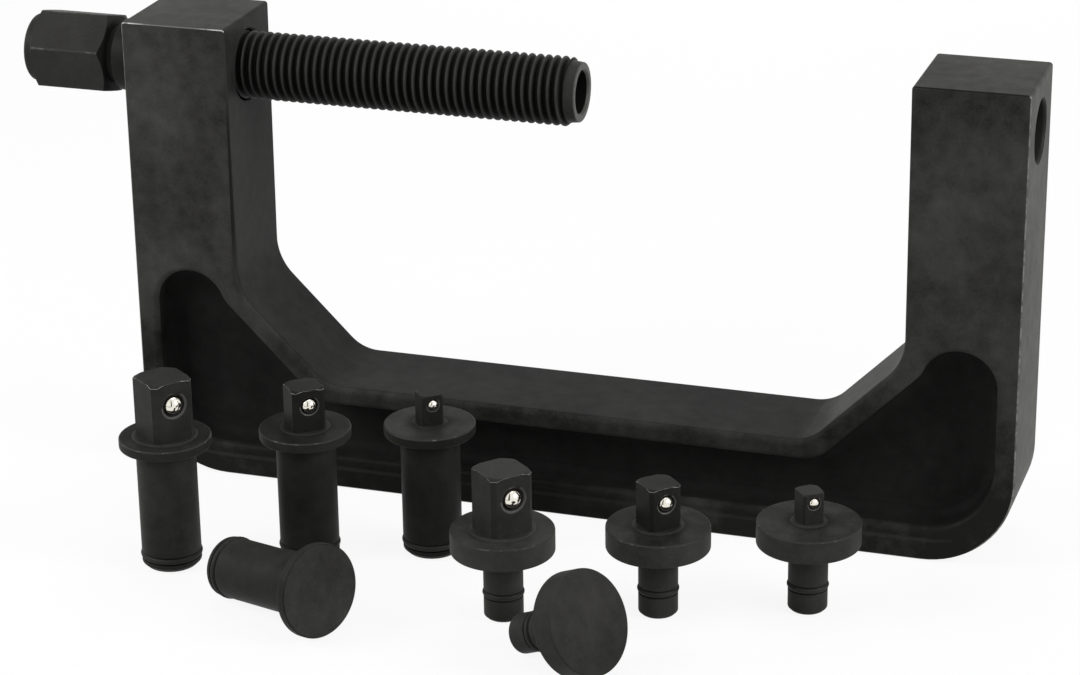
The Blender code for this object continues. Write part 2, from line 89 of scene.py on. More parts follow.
class Value:
    """A shader socket that Python arithmetic can use."""

    def __init__(self, sheet: "Sheet", socket: bpy.types.NodeSocket) -> None:
        """Keeps the socket and the sheet it is on."""
        self.sheet = sheet
        self.socket = socket

    def _math(self, operation: str, first: Any, second: Any) -> "Value":
        """Adds one Math node.

        Args:
            operation: The Math node's operation.
            first: A value or a number.
            second: A value or a number.

        Returns:
            The node's result.
        """
        node = self.sheet.add("Math", {"operation": operation}, {0: first, 1: second})
        return Value(self.sheet, node.outputs[0])

    def __add__(self, other: Any) -> "Value":
        """This plus the other."""
        return self._math("ADD", self, other)

    def __radd__(self, other: Any) -> "Value":
        """The other plus this."""
        return self._math("ADD", other, self)

    def __sub__(self, other: Any) -> "Value":
        """This less the other."""
        return self._math("SUBTRACT", self, other)

    def __rsub__(self, other: Any) -> "Value":
        """The other less this."""
        return self._math("SUBTRACT", other, self)

    def __mul__(self, other: Any) -> "Value":
        """This times the other."""
        return self._math("MULTIPLY", self, other)

    def __rmul__(self, other: Any) -> "Value":
        """The other times this."""
        return self._math("MULTIPLY", other, self)

    def apply(self, operation: str, other: Any = 0.0) -> "Value":
        """Any other Math operation on this value."""
        return self._math(operation, self, other)

    def ramp(self, low: float, high: float) -> "Value":
        """Runs from 0 to 1 as this value goes from low to high, with smooth ends."""
        settings = {"interpolation_type": "SMOOTHSTEP"}
        node = self.sheet.add("MapRange", settings, {0: self, 1: low, 2: high})
        return Value(self.sheet, node.outputs[0])


class Sheet:
    """The node sheet of one material or of the world."""

    def __init__(self, owner: Any) -> None:
        """Empties the owner's node tree."""
        owner.use_nodes = True
        self.tree = owner.node_tree
        self.tree.nodes.clear()

    def add(
        self,
        kind: str,
        settings: dict[str, Any] | None = None,
        inputs: dict[Any, Any] | None = None,
    ) -> bpy.types.Node:
        """Adds a node.

        Args:
            kind: The node's type, without the prefix ShaderNode.
            settings: Attributes that are set first.
            inputs: Values, links or numbers by socket name or place.

        Returns:
            The node.
        """
        node = self.tree.nodes.new("ShaderNode" + kind)
        for name, setting in (settings or {}).items():
            setattr(node, name, setting)
        for key, given in (inputs or {}).items():
            socket = node.inputs[key]
            if isinstance(given, Value):
                given = given.socket
            if isinstance(given, bpy.types.NodeSocket):
                self.tree.links.new(given, socket)
            else:
                socket.default_value = given
        return node

    def value(self, node: bpy.types.Node, output: Any = 0) -> Value:
        """One output of a node, ready for arithmetic."""
        return Value(self, node.outputs[output])

    def noise(self, place: Any, scale: float, detail: float, roughness: float = 0.5) -> Value:
        """Noise over a place.

        Args:
            place: The coordinates.
            scale: Patches in a metre.
            detail: How many finer layers it has.
            roughness: How strong the finer layers are.

        Returns:
            The noise, from 0 to 1.
        """
        inputs = {"Vector": place, "Scale": scale, "Detail": detail, "Roughness": roughness}
        return self.value(self.add("TexNoise", None, inputs))

    def blend(self, share: Any, first: Any, second: Any) -> bpy.types.NodeSocket:
        """A colour between two, by a share."""
        node = self.add("Mix", {"data_type": "RGBA"}, {0: share, 6: first, 7: second})
        return node.outputs[2]

    def place(self) -> bpy.types.NodeSocket:
        """The coordinates of a piece's own space."""
        return self.add("TexCoord").outputs["Object"]

    def bump(self, height: Value) -> bpy.types.NodeSocket:
        """The normal of a surface that is raised by a height in metres."""
        node = self.add("Bump", None, {"Strength": 1.0, "Distance": 1.0, "Height": height})
        return node.outputs["Normal"]

    def surface(self, shader: str, inputs: dict[Any, Any]) -> None:
        """Ends a material in a shader."""
        made = self.add(shader, None, inputs)
        self.add("OutputMaterial", None, {"Surface": made.outputs[0]})


def shade(colour: Sequence[float], level: float = 1.0) -> tuple[float, float, float, float]:
    """A colour at a level of brightness, as four numbers."""
    return (colour[0] * level, colour[1] * level, colour[2] * level, 1.0)


# Finishes


# Patches in a metre of each layer of the black finish, and how strongly the layers show.
PATCH_SCALE, CLOUD_SCALE, SPECKLE_SCALE, GRAIN_SCALE, RING_SCALE = 34.0, 230.0, 1700.0, 3800.0, 900.0
PATCH_WEIGHT, CLOUD_WEIGHT, SPECKLE_WEIGHT = 5.0, 2.9, 3.0
WAVE_WEIGHT, UNEVEN_WEIGHT = 0.35, 1.8
PATCH_ROUGHNESS, SPECKLE_ROUGHNESS, ROOT_ROUGHNESS = 0.25, 0.12, 0.2
# The darkest and the lightest share of a finish's colour, and its share where the painted shadow of its
# dimmed middle is full.
DARKEST, LIGHTEST, DIMMED = 0.35, 1.65, 0.10
# The heights between which a finish leaves its low tone, a painted shade darker towards the bottom (painted
# light where low is negative), and its dimmed middle, a painted shadow of the loose adapters.
LOW_RISE, DIM_RISE = (0.0, 0.060), (0.008, 0.018)


@dataclass(frozen=True)
class BlackSteel:
    """Blackened steel: cloudy patches, a fine grain, and the marks of turning where it has them; where it is
    asked for, also painted shade low down (painted light where low is negative), a painted shadow in a
    middle stretch, and painted shade towards a root.
    """

    name: str
    colour: Colour
    roughness: float = 0.50
    gloss: float = 0.04
    cloud: float = 0.22
    speckle: float = 0.13
    # low: painted shade, darker towards the bottom as the light falls from above; where negative, painted
    # light, lighter towards the bottom.
    low: float = 0.0
    grain_height: float = 4.0e-6
    turned_height: float = 0.0
    turned_pitch: float = 0.0011
    # root, crest, root_shade: painted shade, darker from the crest towards the root, in a thread's roots and
    # at a square's foot on its flange.
    root: float = 0.0
    crest: float = 0.0
    root_shade: float = 0.3
    # The dimmed middle: a painted shadow of the loose adapters on the base rim, strongest at dim_middle and
    # low down.
    painted_shadow: float = 0.0
    dim_middle: float = -0.035
    dim_reach: tuple[float, float] = (0.030, 0.070)

    def toned(self, level: float) -> "BlackSteel":
        """The same finish, lighter or darker."""
        return replace(self, colour=shade(self.colour, level)[:3])

    def material(self, axis: Matrix | None = None, label: str = "") -> bpy.types.Material:
        """Makes the material.

        Args:
            axis: Where a turned piece's own axis is, with its Z along it.
            label: Added to the material's name where each piece has its own.

        Returns:
            The material.
        """
        made = bpy.data.materials.new(self.name + label)
        sheet = Sheet(made)
        place = sheet.place()
        parts = sheet.add("SeparateXYZ", None, {0: place})
        patches = sheet.noise(place, PATCH_SCALE, 4.0, 0.52)
        cloud = sheet.noise(place, CLOUD_SCALE, 4.0, 0.6)
        speckle = sheet.noise(place, SPECKLE_SCALE, 2.0)
        share = 0.5 + (patches - 0.5) * (PATCH_WEIGHT * self.cloud)
        share = share + (cloud - 0.5) * (CLOUD_WEIGHT * self.cloud)
        share = share + (speckle - 0.5) * (SPECKLE_WEIGHT * self.speckle)
        # Painted shade: darker towards the bottom, lighter where low is negative.
        if self.low:
            share = share - (1 - sheet.value(parts, 2).ramp(*LOW_RISE)) * self.low
        colour = sheet.blend(share, shade(self.colour, DARKEST), shade(self.colour, LIGHTEST))
        # Painted shadow: the dimmed middle of the base rim, where the loose adapters stand in front.
        if self.painted_shadow:
            across = (sheet.value(parts, 0) - self.dim_middle).apply("ABSOLUTE")
            dimmed = (1 - across.ramp(*self.dim_reach)) * (1 - sheet.value(parts, 2).ramp(*DIM_RISE))
            colour = sheet.blend(dimmed * self.painted_shadow, colour, shade(self.colour, DIMMED))
        height = sheet.noise(place, GRAIN_SCALE, 2.0, 0.6) * self.grain_height
        rough = self.roughness + (patches - 0.5) * PATCH_ROUGHNESS + (speckle - 0.5) * SPECKLE_ROUGHNESS
        if axis is not None:
            away = self._away(sheet, place, axis)
            if self.turned_height:
                height = height + self._rings(sheet, away) * self.turned_height
            # Painted shade: darker towards the root.
            if self.crest:
                high = away.ramp(self.root, self.crest)
                colour = sheet.blend(high, shade(self.colour, self.root_shade), colour)
                rough = rough + (1 - high) * ROOT_ROUGHNESS
        inputs = {"Base Color": colour, "Roughness": rough, "Specular IOR Level": self.gloss}
        sheet.surface("BsdfPrincipled", inputs | {"Normal": sheet.bump(height)})
        return made

    @staticmethod
    def _away(sheet: Sheet, place: Any, axis: Matrix) -> Value:
        """The distance of a place from an axis.

        Args:
            sheet: The node sheet.
            place: The coordinates on the object.
            axis: Where the axis is.

        Returns:
            The distance in metres.
        """
        back = axis.inverted()
        inputs = {"Vector": place, "Location": back.translation, "Rotation": back.to_euler()}
        turned = sheet.add("Mapping", None, inputs)
        parts = sheet.add("SeparateXYZ", None, {0: turned.outputs[0]})
        x, y = sheet.value(parts, 0), sheet.value(parts, 1)
        return (x * x + y * y).apply("SQRT")

    def _rings(self, sheet: Sheet, away: Value) -> Value:
        """The turned rings: a wave over the distance from the axis, uneven from ring to ring."""
        uneven = sheet.noise(sheet.add("CombineXYZ", None, {0: away}).outputs[0], RING_SCALE, 2.0)
        wave = (away * (2 * pi / self.turned_pitch)).apply("SINE")
        return wave * WAVE_WEIGHT + uneven * UNEVEN_WEIGHT


@dataclass(frozen=True)
class WearAndLightSteel:
    """An edge of blackened steel in patches between a dark and a bright colour, for wear from handling and
    for painted highlights and painted shade along edges.
    """

    name: str
    dark: Colour
    bright: Colour
    share: float = 0.5
    roughness: float = 0.36
    gloss: float = 0.5
    along: int = 0
    middle: float = 0.0
    reach: tuple[float, float] | None = None

    def material(self) -> bpy.types.Material:
        """Makes the material."""
        made = bpy.data.materials.new(self.name)
        sheet = Sheet(made)
        place = sheet.place()
        patches = sheet.noise(place, 420.0, 3.0, 0.6)
        bare = 0.62 - 0.3 * self.share
        # The patches of the bright colour: wear, and painted highlight.
        wear_and_highlight = patches.ramp(bare, bare + 0.2)
        if self.reach is not None:
            parts = sheet.add("SeparateXYZ", None, {0: place})
            away = (sheet.value(parts, self.along) - self.middle).apply("ABSOLUTE")
            wear_and_highlight = wear_and_highlight * away.ramp(*self.reach)
        colour = sheet.blend(wear_and_highlight, shade(self.dark), shade(self.bright))
        inputs = {
            "Base Color": colour,
            "Roughness": self.roughness + (1 - wear_and_highlight) * 0.1,
            "Metallic": wear_and_highlight * self.gloss,
            "Specular IOR Level": self.gloss,
        }
        sheet.surface("BsdfPrincipled", inputs)
        return made


@dataclass(frozen=True)
class BareMetal:
    """Bright metal, polished for the balls and drawn for the spring wire."""

    name: str
    colour: Colour
    roughness: float
    dull: float = 0.08

    def material(self) -> bpy.types.Material:
        """Makes the material."""
        made = bpy.data.materials.new(self.name)
        sheet = Sheet(made)
        film = sheet.noise(sheet.place(), 700.0, 3.0, 0.6)
        colour = sheet.blend(film, shade(self.colour, 0.82), shade(self.colour, 1.1))
        rough = self.roughness + film.ramp(0.45, 0.8) * self.dull
        sheet.surface("BsdfPrincipled", {"Base Color": colour, "Roughness": rough, "Metallic": 1.0})
        return made


@dataclass(frozen=True)
class Rubber:
    """Black moulded rubber with a faint bloom."""

    name: str
    colour: Colour
    roughness: float = 0.55
    gloss: float = 0.10
    skin_height: float = 3.0e-6

    def material(self) -> bpy.types.Material:
        """Makes the material."""
        made = bpy.data.materials.new(self.name)
        sheet = Sheet(made)
        place = sheet.place()
        bloom = sheet.noise(place, 520.0, 3.0, 0.55)
        skin = sheet.noise(place, 5200.0, 2.0)
        colour = sheet.blend(bloom, shade(self.colour, 0.6), shade(self.colour, 1.7))
        inputs = {
            "Base Color": colour,
            "Roughness": self.roughness + (bloom - 0.5) * 0.2,
            "Specular IOR Level": self.gloss,
            "Normal": sheet.bump(skin * self.skin_height),
        }
        sheet.surface("BsdfPrincipled", inputs)
        return made


# The frame's finish, with painted shade darker towards the bottom and a painted shadow in the middle of the
# base rim.
FRAME_STEEL = BlackSteel("frame_black_oxide", (0.0300, 0.0298, 0.0276), cloud=0.32, low=0.54, painted_shadow=0.70)
# Painted shade: the panels' floors darker, as shade falls in the recess.
PANEL_STEEL = BlackSteel("panel_painted_shade", (0.0112, 0.0112, 0.0108), 0.62, 0.03)
SHADOW_STEEL = BlackSteel("panel_wall_black", (0.0088, 0.0088, 0.0085), 0.62, 0.03)
# Painted light: the base's lower front edges lighter, as light bounces up from the floor.
FOOT_STEEL = BlackSteel("foot_edge_painted_light", (0.060, 0.060, 0.057), 0.45, 0.08, 0.10)
# Painted light: the slope below the base rim's groove lighter, as light falls on it from above, with painted
# shade low down and in the middle.
RIDGE_STEEL = BlackSteel("ridge_painted_light", (0.0185, 0.0184, 0.0172), cloud=0.25, low=0.05, painted_shadow=0.45)
SCREW_STEEL = BlackSteel("screw_black_oxide", (0.0235, 0.0233, 0.0220), 0.46, 0.05, 0.14)
# Painted shade: the thread darker from its crests to its roots.
THREAD_STEEL = BlackSteel(
    "thread_black_oxide",
    (0.027, 0.027, 0.0256),
    0.42,
    0.06,
    0.12,
    root=0.0091,
    crest=0.0098,
    root_shade=0.16,
)
# Painted shade: the collar darker, in the shaded gap between the hex and the leg.
COLLAR_STEEL = BlackSteel("collar_painted_shade", (0.0125, 0.0125, 0.0120), 0.46, 0.05, 0.12)
# Painted light: the right leg's outer wall and the base corner below it lighter, and lighter towards the
# bottom, where light falls on it from the right.
SIDE_STEEL = BlackSteel("side_painted_light", (0.041, 0.0406, 0.0372), 0.50, 0.05, 0.36, low=-0.30)
# Painted shade inside the bores.
BORE_STEEL = BlackSteel("bore_painted_shade", (0.0170, 0.0169, 0.0160), 0.46, 0.05, 0.14)
TURNED_STEEL = BlackSteel("turned_black_oxide", (0.0215, 0.0213, 0.0202), 0.48, 0.04, turned_height=7.0e-6)
# Painted light: the flanges' rims lighter than the shanks of the same steel.
FLANGE_SIDE_STEEL = BlackSteel("flange_side_painted_light", (0.0310, 0.0308, 0.0290), 0.50, 0.04, 0.20)
# The flanges' tops: mottled, and with painted shade towards the foot of the square once their root and crest
# are set.
FLANGE_TOP_STEEL = BlackSteel(
    "flange_top_black",
    (0.0215, 0.0213, 0.0202),
    0.50,
    0.04,
    0.44,
    0.34,
    turned_height=6.0e-6,
    root_shade=0.42,
)
DRIVE_STEEL = BlackSteel("drive_black_oxide", (0.0215, 0.0213, 0.0202), 0.48, 0.04, 0.24)
# Painted light: the nose's end face lighter where it faces the light.
NOSE_STEEL = BlackSteel("nose_painted_light", (0.050, 0.050, 0.0475), 0.42, 0.10, 0.16)
SHADED_STEEL = BlackSteel("shaded_edge_black", (0.0130, 0.0130, 0.0125), 0.55, 0.02, 0.10)
# Painted highlight on the lit side of the sunk lip round each ball.
LIP_STEEL = BlackSteel("staked_lip_painted_highlight", (0.062, 0.062, 0.059), 0.40, 0.10, 0.10)
# Wear and a painted highlight on the squares' top edges.
EDGE_STEEL = WearAndLightSteel("rubbed_edge_and_highlight", (0.040, 0.040, 0.038), (0.30, 0.30, 0.29), 0.95)
# Wear and a painted highlight on the flanges' top edges.
FLANGE_EDGE = WearAndLightSteel("rubbed_flange_and_highlight", (0.022, 0.022, 0.0208), (0.085, 0.085, 0.081), 0.30, 0.45, 0.10)
# Wear and a painted highlight on the hex's edges and its chamfer.
HEX_EDGE = WearAndLightSteel("rubbed_hex_and_highlight", (0.031, 0.031, 0.0296), (0.066, 0.066, 0.063), 0.55, 0.45, 0.06)
PAD_STEEL = BlackSteel("pad_black_oxide", (0.0250, 0.0248, 0.0236), 0.48, 0.04, turned_height=7.0e-6)
# Painted shade: the walls of the opening darker, and darker towards the bottom.
INNER_STEEL = BlackSteel("inner_painted_shade", (0.0212, 0.0211, 0.0203), cloud=0.24, low=0.60)
# Painted highlight: a light line along the left leg's front top edge, brightest at its corners.
LEFT_TOP_EDGE = WearAndLightSteel(
    "highlight_left_top", (0.045, 0.045, 0.043), (0.30, 0.30, 0.29), 1.1, middle=-0.1155, reach=(0.006, 0.0155)
)
# Painted highlight: a light line down the left leg's front outer edge, only near its top.
LEFT_SIDE_EDGE = WearAndLightSteel(
    "highlight_left_side", (0.032, 0.032, 0.030), (0.20, 0.20, 0.19), 0.9, along=2, reach=(0.112, 0.138)
)
LEFT_INNER_EDGE = WearAndLightSteel(
    "shaded_left_inner",
    (0.0125, 0.0125, 0.0120),
    (0.0300, 0.0298, 0.0276),
    2.0,
    0.50,
    0.04,
    along=2,
    middle=0.094,
    reach=(0.012, 0.032),
)
# Painted highlight: a light line down the right leg's front outer edge.
RIGHT_SIDE_EDGE = WearAndLightSteel("highlight_right_side", (0.050, 0.050, 0.046), (0.13, 0.13, 0.12), 0.75, 0.40, 0.25)
BALL_STEEL = BareMetal("polished_ball", (0.86, 0.82, 0.73), 0.07)
WIRE_STEEL = BareMetal("drawn_wire", (0.46, 0.46, 0.47), 0.28)
RING_RUBBER = Rubber("ring_rubber", (0.0150, 0.0150, 0.0142))


# Drawing in two dimensions


def arc(centre: Vector, radius: float, start: float, end: float, step: float) -> list[Vector]:
    """Points of an arc with both its ends.

    Args:
        centre: The arc's centre.
        radius: Its radius.
        start: The angle it starts at, in degrees.
        end: The angle it ends at.
        step: The widest angle between two points.

    Returns:
        The points in order.
    """
    count = max(2, round(abs(end - start) / step))
    angles = [radians(start + (end - start) * i / count) for i in range(count + 1)]
    return [centre + Vector((cos(a), sin(a))) * radius for a in angles]


def rounded(before: Vector, corner: Vector, after: Vector, radius: float, step: float) -> list[Vector]:
    """The arc that rounds a corner.

    Args:
        before: The corner before it.
        corner: The corner itself.
        after: The corner after it.
        radius: The rounding, 0 for a sharp corner.
        step: The widest angle between two points.

    Returns:
        The points that take the corner's place.
    """
    arriving = (corner - before).normalized()
    leaving = (after - corner).normalized()
    turn = arriving.angle_signed(leaving, 0.0)
    if radius <= 0 or abs(turn) < 1e-4:
        return [corner]
    side = -1 if turn > 0 else 1
    inward = Vector((-arriving.y, arriving.x)) * side
    centre = corner - arriving * radius * tan(abs(turn) / 2) + inward * radius
    first = degrees(atan2(-inward.y, -inward.x))
    return arc(centre, radius, first, first + side * degrees(abs(turn)), step)


def rounded_line(corners: Sequence[tuple[float, float, float]], step: float = 15.0) -> list[Point]:
    """A line drawn from corner to corner.

    Args:
        corners: Each corner's two coordinates and its rounding.
        step: The widest angle between two points of a rounding.

    Returns:
        The line's points.
    """
    places = [Vector(corner[:2]) for corner in corners]
    line = [places[0]]
    for before, corner, after, given in zip(places, places[1:], places[2:], corners[1:]):
        line += rounded(before, corner, after, given[2], step)
    line.append(places[-1])
    return [(p.x, p.y) for p in line]


def quarter(count: int) -> list[float]:
    """Angles from 0 to a quarter turn, in equal steps."""
    return [radians(90 * i / count) for i in range(count + 1)]


def ease(share: float) -> float:
    """A share from 0 to 1 with smooth ends."""
    share = min(1.0, max(0.0, share))
    return share * share * (3 - 2 * share)


def lying(start: Sequence[float]) -> Matrix:
    """Where a piece turned about Z goes to lie along X from a place."""
    return Matrix.Translation(start) @ Matrix.Rotation(pi / 2, 4, "Y")


# Bench work


class Bench:
    """The modelling steps that the pieces share, each made with Blender's own operators."""

    @staticmethod
    def clear() -> None:
        """Leaves edit mode and deselects everything."""
        if bpy.context.mode != "OBJECT":
            bpy.ops.object.mode_set(mode="OBJECT")
        bpy.ops.object.select_all(action="DESELECT")

    @staticmethod
    def pick(obj: bpy.types.Object) -> None:
        """Makes one object the only one selected, and active."""
        Bench.clear()
        obj.select_set(True)
        bpy.context.view_layer.objects.active = obj

    @staticmethod
    def edit(obj: bpy.types.Object) -> None:
        """Opens one object in edit mode."""
        Bench.pick(obj)
        bpy.ops.object.mode_set(mode="EDIT")

    @staticmethod
    def name(obj: bpy.types.Object, name: str) -> bpy.types.Object:
        """Names an object and its mesh."""
        obj.name = name
        obj.data.name = name
        return obj

    @staticmethod
    def add(name: str, primitive: Callable[..., Any], **settings: Any) -> bpy.types.Object:
        """Adds a primitive with nothing else selected."""
        Bench.clear()
        primitive(**settings)
        return Bench.name(bpy.context.object, name)

    @staticmethod
    def modify(obj: bpy.types.Object, kind: str, **settings: Any) -> None:
        """Adds a modifier to an object and applies it."""
        Bench.pick(obj)
        bpy.ops.object.modifier_add(type=kind)
        modifier = obj.modifiers[-1]
        for name, setting in settings.items():
            setattr(modifier, name, setting)
        bpy.ops.object.modifier_apply(modifier=modifier.name)

    @staticmethod
    def wind(obj: bpy.types.Object, pitch: float, turns: int, steps: int) -> None:
        """Winds a section about Z.

        Args:
            obj: The section.
            pitch: How far it rises in a turn.
            turns: How many turns it makes.
            steps: How many sides a turn has.
        """
        settings = {"axis": "Z", "screw_offset": pitch, "iterations": turns, "use_merge_vertices": False}
        Bench.modify(obj, "SCREW", steps=steps, render_steps=steps, **settings)

    @staticmethod
    def fix() -> None:
        """Keeps the selected object's place, turn and size in its mesh."""
        bpy.ops.object.transform_apply(location=True, rotation=True, scale=True)

    @staticmethod
    def start(name: str) -> bpy.types.Object:
        """A new mesh of one vertex at the origin, in edit mode."""
        obj = Bench.add(name, bpy.ops.mesh.primitive_plane_add, size=0.002)
        bpy.ops.object.mode_set(mode="EDIT")
        bpy.ops.mesh.select_mode(type="VERT")
        bpy.ops.mesh.select_all(action="SELECT")
        bpy.ops.mesh.merge(type="CENTER")
        return obj

    @staticmethod
    def choose(obj: bpy.types.Object, what: Element, test: Test) -> int:
        """Selects in edit mode what passes a test.

        Args:
            obj: The object in edit mode.
            what: Whether vertices, edges or faces are tested.
            test: Takes one of them and says whether it is selected.

        Returns:
            How many were selected.
        """
        bpy.ops.mesh.select_mode(type=what.value)
        bpy.ops.mesh.select_all(action="DESELECT")
        bm = bmesh.from_edit_mesh(obj.data)
        bm.normal_update()
        found = {Element.VERTS: bm.verts, Element.EDGES: bm.edges, Element.FACES: bm.faces}[what]
        chosen = [item for item in found if test(item)]
        for item in chosen:
            item.select_set(True)
        bm.select_flush_mode()
        bmesh.update_edit_mesh(obj.data)
        return len(chosen)

    @staticmethod
    def draw(obj: bpy.types.Object, points: Sequence[Vector], closed: bool = False) -> None:
        """Pulls the one vertex of a new mesh along a line.

        Args:
            obj: The object in edit mode, with that vertex selected.
            points: Where the line goes.
            closed: Whether its end joins its start.
        """
        bpy.ops.transform.translate(value=points[0])
        for before, point in zip(points, points[1:]):
            move = {"value": point - before}
            bpy.ops.mesh.extrude_vertices_move(TRANSFORM_OT_translate=move)
        if closed:
            Bench.choose(obj, Element.VERTS, lambda v: len(v.link_edges) == 1)
            bpy.ops.mesh.edge_face_add()

    @staticmethod
    def close() -> None:
        """Merges doubles, turns all faces outwards, and leaves edit mode."""
        bpy.ops.mesh.select_all(action="SELECT")
        bpy.ops.mesh.remove_doubles(threshold=DOUBLES)
        bpy.ops.mesh.normals_make_consistent(inside=False)
        bpy.ops.object.mode_set(mode="OBJECT")

    @staticmethod
    def turn(name: str, profile: Sequence[Point], steps: int, ring: bool = False) -> bpy.types.Object:
        """Turns a solid about Z.

        Args:
            name: The object's name.
            profile: (distance along the axis, radius) points.
            steps: How many sides it has.
            ring: Whether the profile closes on itself.

        Returns:
            The turned object, in object mode.
        """
        obj = Bench.start(name)
        Bench.draw(obj, [Vector((radius, 0, along)) for along, radius in profile], ring)
        bpy.ops.mesh.select_all(action="SELECT")
        bpy.ops.mesh.spin(steps=steps, angle=2 * pi, center=(0, 0, 0), axis=(0, 0, 1))
        Bench.close()
        return obj

    @staticmethod
    def combine(obj: bpy.types.Object, tool: bpy.types.Object, cut: Cut) -> None:
        """Combines a solid with another, which is used up.

        Args:
            obj: The solid that stays.
            tool: The other one.
            cut: How they are combined.
        """
        Bench.modify(obj, "BOOLEAN", operation=cut.value, solver="EXACT", object=tool)
        bpy.data.objects.remove(tool)

    @staticmethod
    def join(obj: bpy.types.Object, *others: bpy.types.Object) -> None:
        """Makes other shells part of an object."""
        Bench.pick(obj)
        for other in others:
            other.select_set(True)
        bpy.ops.object.join()

    @staticmethod
    def place(obj: bpy.types.Object, matrix: Matrix) -> None:
        """Moves a piece to its place and keeps that place in its mesh."""
        Bench.pick(obj)
        obj.matrix_world = matrix @ obj.matrix_world
        Bench.fix()

    @staticmethod
    def smooth(obj: bpy.types.Object, angle: float = 32.0) -> None:
        """Smooths rounded faces, and keeps flat faces flat up to their edges."""
        Bench.pick(obj)
        bpy.ops.object.shade_smooth_by_angle(angle=radians(angle))
        Bench.modify(obj, "WEIGHTED_NORMAL", keep_sharp=True)

    @staticmethod
    def paint(obj: bpy.types.Object, material: bpy.types.Material, test: Test | None = None) -> None:
        """Gives a material to an object, or to the faces that pass a test.

        Args:
            obj: The object.
            material: The material.
            test: Takes a face in edit mode and says whether it gets the material.
        """
        obj.data.materials.append(material)
        if test is None:
            return
        Bench.edit(obj)
        obj.active_material_index = len(obj.data.materials) - 1
        if Bench.choose(obj, Element.FACES, test):
            bpy.ops.object.material_slot_assign()
        bpy.ops.object.mode_set(mode="OBJECT")

    @staticmethod
    def copy(obj: bpy.types.Object, name: str) -> bpy.types.Object:
        """A copy of a piece with a mesh of its own."""
        Bench.pick(obj)
        bpy.ops.object.duplicate(linked=False)
        return Bench.name(bpy.context.object, name)

    @staticmethod
    def hand_over(obj: bpy.types.Object, body: str, slot: str, *nodes: str) -> None:
        """Gives a finished piece to its body.

        Args:
            obj: The piece.
            body: The body it moves with.
            slot: The record's material slot; not used.
            nodes: The solids it stands for.
        """
        Bench.clear()
        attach(obj, body)
        if nodes:
            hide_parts(*nodes)
        LOG.info("%s rides on %s: %d faces", obj.name, body, len(obj.data.polygons))


# The frame


@dataclass(frozen=True)
class RimPoint:
    """A point of the frame's outline: the rounding there, the rim's groove, and how deep that is."""

    place: Vector
    edge: float
    foot: float
    sink: float


